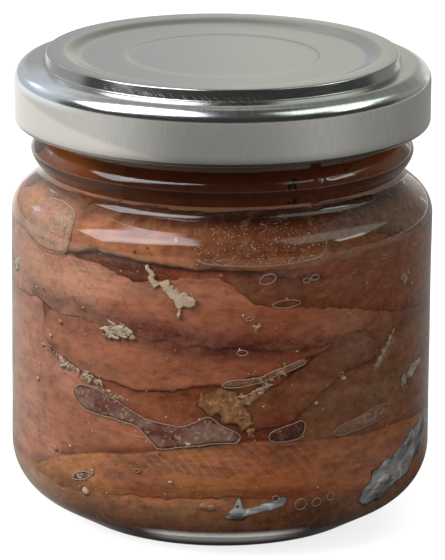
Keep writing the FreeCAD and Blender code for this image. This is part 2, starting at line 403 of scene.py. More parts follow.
def multiplied(tree, first, second):
    """The product of two values, each a socket or a plain number."""
    return node(tree, "Math", {0: first, 1: second}, operation="MULTIPLY").outputs[0]


def between(tree, value, rise, fall):
    """1 between two slopes, each given as a range of the value."""
    return multiplied(tree, ranged(tree, value, *rise), ranged(tree, value, *fall, 1.0, 0.0))


def skirt_smear(tree, angle, height):
    """1 below a slanting line on the front of the skirt, where a painted reflection of a lit patch pales it.
    """
    line = ranged(tree, angle, -80.0, -2.0, LID_BOTTOM_Z + 6.6, LID_BOTTOM_Z)
    below = node(tree, "Math", {0: line, 1: height}, operation="SUBTRACT").outputs[0]
    return multiplied(tree, ranged(tree, below, -0.3, 0.4), ranged(tree, angle, -120.0, -90.0))


def step_scuffs(tree, angle, height, radius):
    """Slanting scuffs across the front of the step round the panel. The lid paints them lighter, as the
    highlight that they catch.
    """
    slant = node(tree, "Math", {0: height, 1: 3.2, 2: angle}, operation="MULTIPLY_ADD").outputs[0]
    slanted = node(tree, "CombineXYZ", {0: slant, 1: height}).outputs[0]
    scuff = link_noise(tree, slanted, 1.0, 3.0, 0.6, (1.6, 0.4, 0.0))
    on_step = between(tree, radius, (CREST_RADIUS + 0.12, CREST_RADIUS + 0.3),
                      (CREST_RADIUS + 0.6, CREST_RADIUS + 0.9))
    in_front = between(tree, angle, (-52.0, -30.0), (6.0, 24.0))
    return multiplied(tree, multiplied(tree, on_step, in_front), ranged(tree, scuff, 0.48, 0.78, 0.0, 0.42))


def metal_material():
    """Satin tinplate: fine grain, brushed streaks and scuffs across the step round the panel, with painted
    light: the scuffs painted lighter, a painted reflection on the skirt, a painted highlight on the corner
    and a painted glint on the shelf.
    """
    m, tree, shader = material("tinplate", Metallic=1.0, Roughness=0.2)
    place = node(tree, "TexCoord").outputs["Object"]
    turned = attribute(tree, "turned", "Vector")
    angle, height, radius = node(tree, "SeparateXYZ", {0: turned}).outputs
    grain = link_noise(tree, place, 5200.0, 2.0, 0.7)
    cloud = link_noise(tree, place, 60.0, 2.0, 0.4)
    brush = link_noise(tree, turned, 1.0, 3.0, 0.6, (3.0, 0.35, 0.0))
    marks = step_scuffs(tree, angle, height, radius)
    # Painted highlight: the lid's colour is made lighter along its corner
    corner_highlight = multiplied(tree, ranged(tree, radius, LID_RADIUS - 2.0, LID_RADIUS - 1.2),
                           ranged(tree, height, LID_TOP_Z - 3.3, LID_TOP_Z - 2.9))
    left = between(tree, angle, (-86.0, -70.0), (-52.0, -38.0))
    outer = multiplied(tree, ranged(tree, height, LID_TOP_Z - 4.6, LID_TOP_Z - 3.4),
                       ranged(tree, radius, CREST_RADIUS + 0.3, CREST_RADIUS + 1.2, 0.0, 0.85))
    layers = [
        (ranged(tree, grain, 0.35, 0.65, 0.0, 0.30), (0.40, 0.395, 0.375)),     # fine grain
        (ranged(tree, cloud, 0.4, 0.65, 0.0, 0.20), (0.44, 0.435, 0.41)),     # cloudy patches
        (ranged(tree, brush, 0.45, 0.75, 0.0, 0.30), (0.58, 0.60, 0.565)),     # streaks
        # a painted reflection of a lit patch on the front of the skirt
        (ranged(tree, skirt_smear(tree, angle, height), 0.0, 1.0, 0.0, 0.55), (0.70, 0.67, 0.63)),
        # a painted highlight along the lid's corner, broken up by the brushed streaks
        (multiplied(tree, corner_highlight, ranged(tree, brush, 0.3, 0.6, 0.5, 1.0)), (0.86, 0.87, 0.84)),
        (multiplied(tree, left, outer), (0.80, 0.88, 0.95)),     # a bluish glint on the left of the shelf
        # the scuffs, partly real marks and partly a painted highlight
        (marks, (0.75, 0.74, 0.72)),
    ]
    colour = (0.475, 0.47, 0.45)
    for share, tint in layers:
        colour = tinted(tree, colour, share, tint)
    tree.links.new(colour, shader.inputs["Base Color"])
    tree.links.new(ranged(tree, marks, 0.0, 0.6, 0.175, 0.60), shader.inputs["Roughness"])
    bumped(tree, shader, grain, 0.000012, 0.5)
    return m


def fish_material():
    """Cured flesh: the piece's own tint, broken up by fine fibres, mottling and specks."""
    m, tree, shader = material("fish", Roughness=0.6, Specular_IOR_Level=0.08)
    grain = attribute(tree, "grain", "Vector")
    fibres = link_noise(tree, grain, 1.0, 3.0, 0.6, (0.45, 2.6, 1.0))
    mottle = link_noise(tree, grain, 1.0, 5.0, 0.72, (0.75, 1.0, 1.0))
    specks = link_noise(tree, grain, 1.0, 2.0, 0.5, (4.6, 5.4, 1.0))
    colour = tinted(tree, attribute(tree, "tint", "Color"), ranged(tree, fibres, 0.36, 0.70, 0.0, 0.34),
                    (0.62, 0.52, 0.50), "MULTIPLY")
    colour = tinted(tree, colour, ranged(tree, mottle, 0.50, 0.28, 0.0, 0.75), (0.50, 0.37, 0.36), "MULTIPLY")
    colour = tinted(tree, colour, ranged(tree, mottle, 0.50, 0.78, 0.0, 0.42), (0.34, 0.205, 0.135))
    colour = tinted(tree, colour, ranged(tree, specks, 0.67, 0.80, 0.0, 0.5), (0.46, 0.33, 0.22))
    tree.links.new(colour, shader.inputs["Base Color"])
    bumped(tree, shader, mottle, 0.00022, 0.5)
    return m


def skin_material():
    """Silver fish skin, which keeps a dull shine under the oil."""
    m, tree, shader = material("fish_skin", Roughness=0.35, Metallic=0.45, Specular_IOR_Level=0.4)
    grain = attribute(tree, "grain", "Vector")
    folds = link_noise(tree, grain, 1.0, 2.0, 0.5, (0.4, 0.9, 1.0))
    colour = tinted(tree, attribute(tree, "tint", "Color"), ranged(tree, folds, 0.5, 0.35, 0.0, 0.3),
                    (0.30, 0.29, 0.29), "MULTIPLY")
    tree.links.new(colour, shader.inputs["Base Color"])
    bumped(tree, shader, folds, 0.0006, 0.8)
    return m


# ---------------------------------------------------------------- glass, lid and oil

def from_nearest(angle):
    """Degrees from the middle of the nearest thread start, or of the lug that grips it."""
    return np.abs((angle + 180 / THREADS) % (360 / THREADS) - 180 / THREADS)


def glass_shape(r, z, angle):
    """Thread starts on the neck, a mould seam and the faint waviness of pressed glass."""
    outer = r > inside_radius(z) + 1.0
    rise = np.clip(z - THREAD_Z, 0, None)
    slope = THREAD_REACH * (THREAD_RISE - rise) / (THREAD_RISE - THREAD_FLAT)
    reach = np.where(rise <= THREAD_FLAT, THREAD_REACH, slope)
    reach = np.where((z > THREAD_Z) & (rise < THREAD_RISE), reach, 0.0)
    ends = smoothstep((THREAD_ARC / 2 - from_nearest(angle)) / 3.0)
    r = r + np.where(outer, reach * ends, 0.0)
    wave = 0.02 * (np.sin(np.radians(3 * angle) + z * 0.21) + np.sin(np.radians(7 * angle) - z * 0.33)) - 0.04
    body = smoothstep((z - 12) / 6) * smoothstep((WALL_TOP_Z + 4 - z) / 5)
    r = r + np.where(outer, wave * body, 0.0)
    seam = np.radians(np.abs((angle - SEAM_ANGLE + 90) % 180 - 90)) * r
    on_bead = smoothstep((BEAD_HALF + 1.2 - np.abs(z - BEAD_Z)) / 1.2)
    ridge = SEAM_HEIGHT * np.exp(-(seam / SEAM_WIDTH) ** 2) * on_bead
    r = r + np.where(outer & (z > WAIST_Z - SEAM_DROP), ridge, 0.0)
    return r, z


def make_glass():
    """The jar, with a second material where its inside touches the oil."""
    lip = arc((BORE_RADIUS + LIP_ROUND, JAR_HEIGHT - LIP_ROUND), LIP_ROUND, 90, 180, 6)
    profile = joined(glass_outside(), lip, [(BORE_RADIUS, OIL_Z)], glass_inside())

    def wet(low, high):
        height, radius = (low[1] + high[1]) / 2, (low[0] + high[0]) / 2
        return FLOOR_Z - 0.01 < height < OIL_Z and radius < inside_radius(height) + 0.05

    piece = lathe("glass_jar", profile, 300,
                  [glass_material("clear_glass", 1.5), glass_material("clear_glass_on_oil", 1.02)],
                  glass_shape, wet, sharp=50)
    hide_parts("jar")


STEEL = 0.4
CREST_RADIUS = LIP_RADIUS + 0.25
CREST_WIDTH = 1.9
CREST_CORNER = 0.25
STEP_DROP = 1.65
STEP_LEAN = 0.4
STEP_FILLET = 0.22
LID_CORNER = 2.3
RECESS_DROP = 0.7
RECESS_RUN = 3.4
BUTTON_RADIUS = 13.8
BUTTON_SINK = 0.09
BUTTON_RUN = 0.5
CURL_RADIUS = 0.65
LUG_ARC = 22.0
LUG_REACH = 1.5


def lid_outline(inset):
    """From the axis out and down to the end of the lid's corner, moved into the steel by inset."""
    top = LID_TOP_Z - inset
    recess = top - RECESS_DROP
    wall = CREST_RADIUS - inset
    corner = max(CREST_CORNER - inset, 0.05)
    recess_out = CREST_RADIUS - CREST_CORNER - CREST_WIDTH - RECESS_RUN
    shelf_out = LID_RADIUS - LID_CORNER
    shelf = top - STEP_DROP
    fillet_radius = STEP_FILLET + inset
    button = [(BUTTON_RADIUS + BUTTON_RUN * t, recess - BUTTON_SINK * (1 - smoothstep(t)))
              for t in np.linspace(0, 1, 5)]
    ramp = [(recess_out + RECESS_RUN * t, recess + RECESS_DROP * (1 - math.cos(math.pi * t)) / 2)
            for t in np.linspace(0, 1, 17)]
    return joined(
        [(0, recess - BUTTON_SINK)],
        button,
        ramp,
        arc((wall - corner, top - corner), corner, 90, 10, 4),
        arc((wall + STEP_LEAN + fillet_radius, shelf + fillet_radius), fillet_radius, 190, 270, 6),
        arc((shelf_out, shelf - (LID_CORNER - inset)), LID_CORNER - inset, 90, 0, 16),
    )


def lid_shape(r, z, angle):
    """Lugs that turn in under the threads, and very shallow dents in the panel."""
    curl_z = LID_BOTTOM_Z + CURL_RADIUS
    lug = smoothstep((LUG_ARC / 2 - from_nearest(angle)) / 2.5)
    inner = (r < LID_RADIUS - CURL_RADIUS) & (np.abs(z - curl_z - 0.1) < 0.5) & (r > LIP_RADIUS)
    r = np.where(inner, r - LUG_REACH * lug, r)
    panel = smoothstep((CREST_RADIUS - CREST_CORNER - CREST_WIDTH - r) / 2) * (z > LID_TOP_Z - 1.5)
    x, y = r * np.sin(np.radians(angle)), r * np.cos(np.radians(angle))
    return r, z + panel * (0.02 * noise(x / 11, y / 11, 5) - 0.02)


def make_lid():
    """The lid as one sheet of steel, with its edge rolled in."""
    outer, inner = lid_outline(0.0), lid_outline(STEEL)
    curl_z = LID_BOTTOM_Z + CURL_RADIUS
    curl = arc((LID_RADIUS - CURL_RADIUS, curl_z), CURL_RADIUS, 0, -270, 22)
    profile = joined(outer, curl, [(LID_RADIUS - STEEL, curl_z + 2 * CURL_RADIUS)], inner[::-1])
    piece = lathe("twist_lid", profile, 260, [metal_material()], lid_shape, sharp=50)
    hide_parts("lid")


def make_oil():
    """The oil reaches 0.1 mm into the wall, so that no air shows between it and the glass."""
    into_wall = 0.1
    top_r = BORE_RADIUS + into_wall
    profile = joined([(0, OIL_Z)], [(top_r - 0.4, OIL_Z)], [(top_r, OIL_Z)], glass_inside(into_wall))
    piece = lathe("oil_fill", profile, 200,
                  [oil_material("olive_oil_side", 1.0), oil_material("olive_oil", 1.47)], None,
                  lambda low, high: min(low[1], high[1]) > OIL_Z - 0.01, sharp=50)
    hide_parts("oil")


# ---------------------------------------------------------------- fish

EDGE = 0.6             # width of a fillet's rounded edge
EDGE_DROP = 0.19       # how far that edge falls back, as a share of the fillet's thickness
WOBBLE = 1.25          # how far a fully ragged edge strays
SINK_REACH = 2.6       # how far from its edge a fillet starts to sink behind its neighbour
TINTS = {name: np.array(value) for name, value in {
    "golden": (0.43, 0.178, 0.070),
    "salmon": (0.39, 0.158, 0.098),
    "orange": (0.295, 0.124, 0.074),
    "red": (0.215, 0.062, 0.028),
    "brown": (0.215, 0.094, 0.050),
    "pink": (0.43, 0.205, 0.145),
    "olive": (0.19, 0.110, 0.055),
    "dark": (0.050, 0.018, 0.011),
    "plum": (0.110, 0.034, 0.030),
    "grey": (0.23, 0.145, 0.115),
    "cream": (0.62, 0.46, 0.31),
    "pale": (0.50, 0.41, 0.31),
    "yellow": (0.34, 0.185, 0.070),
    "silver": (0.42, 0.43, 0.43),
    "bone": (0.52, 0.44, 0.345),
    "fawn": (0.33, 0.215, 0.150),
    "umber": (0.125, 0.045, 0.019),
    "mauve": (0.24, 0.115, 0.090),
}.items()}


def curve_through(points, angle):
    """Heights at the angles, on a smooth curve through (angle, height) points."""
    a, z = np.array(points, float).T
    slope = np.gradient(z, a)
    i = np.clip(np.searchsorted(a, angle) - 1, 0, len(a) - 2)
    h = a[i + 1] - a[i]
    t = np.clip((angle - a[i]) / h, 0, 1)
    return ((1 + 2 * t) * (1 - t) ** 2 * z[i] + t * (1 - t) ** 2 * h * slope[i]
            + t * t * (3 - 2 * t) * z[i + 1] + t * t * (t - 1) * h * slope[i + 1])


def along_wall(angle):
    """Millimetres along the wall from the front."""
    return np.radians(angle) * CAVITY_RADIUS


def at_wall(s, z, depth):
    """Points a depth behind the inside of the glass."""
    return on_jar(inside_radius(z) - depth, np.degrees(s / CAVITY_RADIUS), z)


def shade_of(z):
    """How much light the flesh keeps at a height: less in the neck and near the base, more at the waist."""
    low = 0.74 + 0.26 * smoothstep((z - 3.9) / 3.0)
    high = 0.30 + 0.70 * smoothstep((50.9 - z) / 4.0)
    waist = 0.50 * np.exp(-((z - 51.9) / 1.6) ** 2)
    return low * (high + waist)


def tone_of(angle):
    """How the flesh's colour drifts round the jar: warmer right of the middle, pinker on the left."""
    warm = np.exp(-((angle - 17) / 15) ** 2)[:, None]
    left = smoothstep((-18 - angle) / 30)[:, None]
    pink = smoothstep((-50 - angle) / 20)[:, None]
    tone = 1 - warm * np.array([0.03, 0.22, 0.35])
    return tone * (1 + left * np.array([0.05, 0.12, 0.15])) * (1 + pink * np.array([0.0, 0.14, 0.24]))


def paint(piece, tint, grain):
    """Stores each point's colour and its place along and across the fibres."""
    store(piece.data, "tint", opaque(np.clip(tint, 0, 1)))
    store(piece.data, "grain", grain)


def blend(tint, share, colour):
    """A tint moved towards a colour by a share from 0 to 1."""
    share = np.clip(share, 0, 1)[..., None]
    return tint * (1 - share) + share * colour


def fillet_layout(top, bottom, seed, ragged, tips, step):
    """Where a fillet's points lie. Its rows run round the section, and its columns along the fillet."""
    start, end = max(top[0][0], bottom[0][0]), min(top[-1][0], bottom[-1][0])
    length = along_wall(end - start)
    angle = np.linspace(start, end, max(int(length / step), 12))
    s = along_wall(angle - start)
    high = curve_through(top, angle) + WOBBLE * ragged[0] * rough(s / 1.8, 0 * s, seed, 5)
    low = curve_through(bottom, angle) + WOBBLE * ragged[1] * rough(s / 1.8, 0 * s + 9, seed + 3, 5)
    from_end = np.minimum(s / tips[0], (length - s) / tips[1])
    half = np.maximum((high - low) / 2, 0.12) * rounded(from_end, 0.0004)
    rows = max(int(np.max(half) * 2 / step), 14)
    t = np.linspace(-1, 1, rows)
    across = np.concatenate([np.sin(t * math.pi / 2) * 0.3 + t * 0.7, np.linspace(1, -1, 8)[1:-1]])[:, None]
    z = np.clip((high + low) / 2 + across * half, FLOOR_Z + 0.5, OIL_Z - 1.0)
    return SimpleNamespace(
        angle=angle, across=across, half=half, z=z, back=(np.arange(len(across)) >= rows)[:, None],
        along=s + 0 * z, width=along_wall(angle) + 0 * z, to_end=np.minimum(s, length - s),
        edge=(1 - np.abs(across)) * half)


def fillet_depth(f, film, thick, dive, seed):
    """How far a fillet's points lie behind the glass, and how far its edges have sunk."""
    rounding = EDGE_DROP * thick * (1 - rounded(np.minimum(f.edge / EDGE, f.to_end / (EDGE * 1.5))))
    sunk = (dive[0] * smoothstep(1 - (1 - f.across) * f.half / SINK_REACH)
            + dive[1] * smoothstep(1 - (1 + f.across) * f.half / SINK_REACH))
    relief = 0.07 * np.abs(rough(f.along / 5, f.z / 1.3, seed + 11))
    relief = relief + 0.02 * noise(f.along / 2.0, f.z / 0.4, seed + 12)
    return np.where(f.back, film + thick - rounding, film + relief + rounding + sunk), sunk


def flesh_tint(f, colour, other, seed, spread, smooth):
    """Two shades in patches, with coarse and fine unevenness."""
    mix = smoothstep(0.5 + 0.75 * rough(f.along / spread[0], f.z / spread[1], seed + 21))[..., None]
    tint = TINTS[colour] * (1 - mix) + TINTS[other] * mix
    texture = 0.30 * rough(f.along / 1.5, f.z / 1.1, seed + 23, 5)
    texture = texture + 0.07 * noise(f.along / 5, f.z / 0.5, seed + 24)
    tint = tint * (1 + smooth * texture + 0.22 * rough(f.along / 6, f.z / 3.0, seed + 25))[..., None]
    share = 0.30 * smoothstep(0.2 + 0.9 * rough(f.along / 3.5, f.z / 1.8, seed + 26))
    return blend(tint, share, TINTS["mauve"])


def with_pale_lines(f, tint, lines, seed):
    """The fine pale lines that cross the flesh between its muscles."""
    a0, a1, z0, z1, slant, spacing, strength = lines
    phase = (f.along + slant * (f.z - z0) + 0.5 * noise(f.along / 5, f.z / 2, seed + 27)) / spacing
    stripe = np.exp(-((phase - np.round(phase)) * spacing / 0.15) ** 2)
    stripe *= smoothstep(np.minimum(f.angle - a0, a1 - f.angle) / 8)
    stripe *= smoothstep(np.minimum(f.z - z0, z1 - f.z) / 1.2)
    stripe *= smoothstep(0.75 + 0.7 * noise(f.along / 4, f.z / 2.2, seed + 28))
    return blend(tint, strength * stripe, TINTS["cream"] * 0.8)


def with_dark_band(f, tint, band, seed):
    """The dark muscle that runs along a fillet."""
    path, half_width = band
    wobble = 0.7 * rough(f.along / 4, f.z / 2.5, seed + 30)
    dark = np.exp(-((f.z - curve_through(path, f.angle) - wobble) / half_width) ** 2)
    dark *= 0.80 + 0.45 * rough(f.along / 2.2, f.z / 1.1, seed + 31)
    dark *= smoothstep((f.angle - path[0][0]) / 10 + 0.3) * smoothstep((path[-1][0] - f.angle) / 10 + 0.3)
    return blend(tint, dark * 0.95, TINTS["plum"] * 0.7)


def with_spots(f, tint, spots, seed):
    """Lighter or darker places with uneven outlines."""
    for angle, height, half_length, half_height, spot, strength in spots:
        far = ((f.width - along_wall(angle)) / half_length) ** 2 + ((f.z - height) / half_height) ** 2
        far = far * (1 + 0.5 * rough(f.width / 1.2, f.z / 0.9, seed + 41))
        tint = blend(tint, strength * np.exp(-far * 1.2), TINTS[spot])
    return tint


def with_dark_edges(f, tint, seam, seed):
    """A thin line of painted shade along each long edge, where it meets its neighbour, and softer painted
    shade beside it.
    """
    line = np.where(f.across > 0, seam[0], seam[1])
    line = line * (1 - smoothstep(f.edge / (0.45 + 0.2 * noise(f.along / 1.5, f.z, seed + 5))))
    return tint * (1 - line)[..., None] * (1 - 0.30 * np.exp(-f.edge / 1.1))[..., None]


def fillet(name, top, bottom, colour, other, seed, film=0.15, thick=3.0, dive=(0.5, 0.5), ragged=(0.25, 0.25),
           band=None, lines=None, pale=(), step=0.3, tips=(2.0, 2.0), spread=(9.0, 2.5), seam=(0.18, 0.18),
           light=1.0, smooth=1.0):
    """A fillet pressed to the glass between two edges, each a list of (angle, height) points.

    film is the oil between it and the glass. dive sinks its top and bottom edges behind a neighbour and
    darkens them there as painted shade, and ragged is how uneven those edges are. band is the line of the
    dark muscle, with a half width. lines is where pale lines cross the flesh, as (from angle, to angle, low
    height, high height, slant, spacing, strength). pale lists lighter or darker places as (angle, height,
    half length, half height, colour, strength). tips are the lengths in millimetres over which its ends round
    off, and spread is the size of its two shades' patches. seam is how dark the painted shade lines along its
    top and bottom edges are, light makes the whole fillet lighter or darker, and smooth below 1 fades its
    texture.
    """
    f = fillet_layout(top, bottom, seed, ragged, tips, step)
    depth, sunk = fillet_depth(f, film, thick, dive, seed)
    rows, columns = f.z.shape
    faces = grid_faces(rows, columns, rows_close=True)
    faces.append([i * columns for i in range(rows)])
    faces.append([i * columns + columns - 1 for i in range(rows)][::-1])
    piece = new_piece(name, at_wall(f.width, f.z, depth).reshape(-1, 3), faces, [FISH])

    tint = flesh_tint(f, colour, other, seed, spread, smooth)
    if lines:
        tint = with_pale_lines(f, tint, lines, seed)
    if band:
        tint = with_dark_band(f, tint, band, seed)
    tint = with_dark_edges(f, with_spots(f, tint, pale, seed), seam, seed)
    # Painted shade: sunken edges, and heights that get less light, are darkened in the tint
    tint = light * tint * np.exp(-0.75 * sunk)[..., None] * shade_of(f.z)[..., None] * tone_of(f.angle)
    grain = np.stack([f.along, f.z, np.full_like(f.z, seed * 3.7)], -1) * (smooth ** 3, smooth ** 1.5, 1.0)
    paint(piece, tint.reshape(-1, 3), grain.reshape(-1, 3))
    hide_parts("fillets")


def make_core():
    """The fish behind what shows: one uneven mass, tinted dark as painted shade, a little smaller than the
    bundle.
    """
    heights = np.arange(FLOOR_Z + 0.6, OIL_Z - 2.0, 0.8)
    turns = 180
    z = np.repeat(heights[:, None], turns, 1)
    angle = np.repeat((np.arange(turns) * 360.0 / turns)[None, :], len(heights), 0)
    a = np.radians(angle)
    swirl = rough(3 * np.cos(a) + 5, z / 4 + 2 * np.sin(a), 3) * 1.1
    r = inside_radius(z) - 2.4 + np.clip(swirl, -1.2, 0.9)
    vertices = np.vstack([on_jar(r, angle, z).reshape(-1, 3), [[0, 0, heights[0]], [0, 0, heights[-1]]]])
    n, c = len(heights), turns
    faces = grid_faces(n, c, columns_close=True)
    faces += [(n * c, (j + 1) % c, j) for j in range(c)]
    faces += [(n * c + 1, (n - 1) * c + j, (n - 1) * c + (j + 1) % c) for j in range(c)]
    piece = new_piece("fish_core", vertices, faces, [FISH])
    x, y, height = vertices.T
    shade = smoothstep(0.5 + 0.8 * rough(x / 4, height / 2 + y / 4, 8))[:, None]
    # the dark tint is painted shade
    tint = TINTS["dark"] * (1 - shade) + TINTS["red"] * shade
    around = np.degrees(np.arctan2(x, -y))
    paint(piece, tint * shade_of(height)[:, None], np.stack([around * 0.5, height, 0 * around], -1))
    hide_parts("fillets")


def make_shoulder_fillets():
    """The flesh in the neck and the fillets under the shoulder, on the side that faces the camera."""
    # Painted light: the cream band low on fillet_neck lights the waist under the bead, and fillet_neck_left's
    # light of 1.8 paints the lit left of the neck
    fillet("fillet_neck", [(-100, 62), (-50, 61.5), (0, 62), (50, 61.5), (114, 62)], [(-100, 49),
           (-50, 48.5), (0, 49), (50, 49), (114, 49)], "brown", "red", 3, film=1.9, dive=(0.5, 0.0),
           step=0.5, spread=(12, 1.2), ragged=(0, 0), light=1.05, smooth=0.12,
           pale=[(0, 50.6, 70, 1.6, "cream", 0.8), (70, 54, 22, 7, "pink", 0.5),
           (-28, 55, 9, 9, "golden", 0.8)])
    fillet("fillet_neck_left", [(-112, 61), (-80, 60.5), (-55, 60), (-34, 58)], [(-112, 49), (-60, 48.5),
           (-34, 49)], "golden", "brown", 4, film=1.6, dive=(0.5, 0.0), step=0.5, ragged=(0, 0), light=1.8,
           smooth=0.12, tips=(2.0, 9.0), pale=[(-36, 55, 6, 9, "brown", 0.7)])
    # On fillet_shoulder the dark and umber spots near its top are partly darker flesh and partly painted
    # shade under the neck, and the pink band along its top is painted light at the waist
    fillet("fillet_shoulder", [(-64, 50.6), (-40, 51.0), (-10, 50.6), (20, 51), (40, 50.8), (60, 50.6)],
           [(-64, 43.6), (-47, 43.6), (-38, 44.6), (-30, 44.4), (-20, 44.0), (-8, 43.7), (5, 43.5),
           (20, 43.3), (40, 43.6), (60, 44.6)], "golden", "orange", 5, film=0.24, dive=(0.7, 0.0),
           light=1.28, tips=(2.0, 9.0), pale=[(16, 48.2, 23, 3.0, "umber", 1.0),
           (8, 49.5, 26, 1.1, "dark", 0.95), (46, 47, 12, 5, "umber", 0.9),
           (-24, 49.7, 9, 1.0, "umber", 0.8), (-46, 48.5, 4, 2.0, "umber", 0.8),
           (-12, 46.9, 6, 0.8, "umber", 0.5), (0, 51.2, 44, 0.7, "pink", 0.8),
           (9, 46.4, 14, 1.7, "umber", 0.7), (8, 46.8, 11, 2.0, "dark", 0.45)])
    fillet("fillet_shoulder_left", [(-112, 49.6), (-90, 50.2), (-70, 50.4), (-44, 50.3)], [(-112, 43),
           (-90, 43.5), (-70, 43.0), (-56, 42.3), (-44, 42.2)], "golden", "pink", 6, film=0.40,
           dive=(1.0, 0.6), tips=(8.0, 2.0))
    fillet("fillet_shoulder_right", [(26, 50.8), (50, 50.7), (75, 50.1), (104, 50)], [(26, 44.2),
           (33, 45.0), (38, 45.9), (45, 46.0), (60, 45.0), (80, 44.4), (104, 44.0)], "brown", "olive", 7,
           film=0.18, dive=(1.2, 0.0), tips=(5.0, 9.0), ragged=(0.3, 0.4), light=0.72)


def make_upper_fillets():
    """The long fillets across the upper half of the front."""
    fillet("fillet_shadowed", [(-52, 44.9), (-30, 45.5), (-10, 45.2), (10, 45.0)], [(-52, 40), (-30, 39.6),
           (-10, 40), (10, 39.5)], "red", "dark", 8, film=0.62, dive=(0.7, 0.3), spread=(12, 1.2))
    fillet("fillet_right_upper", [(-4, 44.6), (10, 45.0), (30, 46.8), (45, 47.4), (70, 46.4), (122, 44.5)],
           [(-4, 42.3), (0, 42.2), (3, 41.4), (5, 40.2), (8, 38.9), (12, 38.2), (17, 37.6), (23, 37.3),
           (28, 37.2), (34, 36.6), (40, 36.2), (50, 35.0), (60, 33.8), (75, 33.0), (122, 34)], "red",
           "brown", 9, film=0.36, dive=(0.8, 0.0), band=([(0, 43.0), (15, 42.6), (32, 41.9)], 0.7),
           ragged=(0.2, 0.35), tips=(1.0, 8.0), pale=[(55, 40, 7, 3, "brown", 0.6),
           (38, 37.6, 9, 2.4, "red", 0.7)])
    fillet("fillet_big", [(-104, 44.8), (-80, 44.6), (-60, 43.7), (-48, 43.3), (-40, 43.1), (-35, 42.8),
           (-30, 41.9), (-25, 41.3), (-20, 41.9), (-12, 42.4), (-5, 42.6), (2, 42.9), (10, 41.5),
           (20, 40.2), (30, 39.2), (40, 38.4), (47, 37.4), (54, 35.6)], [(-104, 34.5), (-80, 34.3),
           (-60, 34.6), (-54, 33.8), (-44, 33.9), (-36, 33.6), (-28, 33.0), (-18, 32.4), (-5, 31.9),
           (10, 31.4), (25, 31.2), (40, 31.8), (47, 32.8), (54, 34.2)], "salmon", "pink", 12, film=0.46,
           dive=(0.0, 0.0), tips=(9, 8), ragged=(0.45, 0.3), light=1.08, band=([(-72, 36.8), (-60, 36.2),
           (-40, 35.5), (-24, 34.0), (-10, 32.8), (0, 32.2), (15, 31.8), (30, 31.6), (40, 31.6)], 1.7),
           seam=(0.4, 0.1), lines=(-80, -32, 36.5, 44.2, 1.0, 1.5, 0.6), step=0.2,
           pale=[(-20, 40.2, 5, 1.2, "grey", 0.4), (-52, 36.4, 8, 1.0, "plum", 0.4),
           (14, 36, 8, 1.6, "orange", 0.7), (-5, 38, 9, 2.2, "plum", 0.25),
           (-18, 34.6, 9, 1.7, "plum", 0.55), (4, 33.4, 9, 1.7, "plum", 0.6),
           (-44, 37.0, 9, 1.5, "plum", 0.35), (-66, 40.5, 12, 3.4, "pink", 0.6),
           (-49, 39, 8, 4, "cream", 0.20), (-40, 38.5, 6, 2, "pink", 0.4), (46, 35.5, 6, 4, "brown", 0.75)])
    fillet("fillet_middle", [(-61, 32.0), (-58, 33.8), (-50, 34.4), (-40, 34.7), (-30, 34.4), (-18, 33.8),
           (-5, 33.4), (10, 33.0), (25, 32.7), (37, 32.8)], [(-61, 30.2), (-58, 28.9), (-50, 27.0),
           (-40, 25.9), (-30, 25.4), (-20, 25.0), (-10, 25.7), (0, 26.6), (10, 27.4), (20, 29.0),
           (28, 30.0), (37, 31.0)], "orange", "salmon", 15, film=0.54, dive=(0.0, 0.0), ragged=(0.1, 0.35),
           tips=(1.8, 3.0), band=([(-24, 32.9), (-10, 32.4), (0, 32.0), (15, 31.8), (30, 31.5)], 1.4),
           seam=(0.1, 0.4), pale=[(2, 31.4, 10, 1.3, "plum", 0.55), (-30, 30, 9, 1.6, "salmon", 0.5),
           (10, 29.6, 8, 1.2, "orange", 0.6), (-56, 29.0, 3, 0.8, "dark", 0.5)])


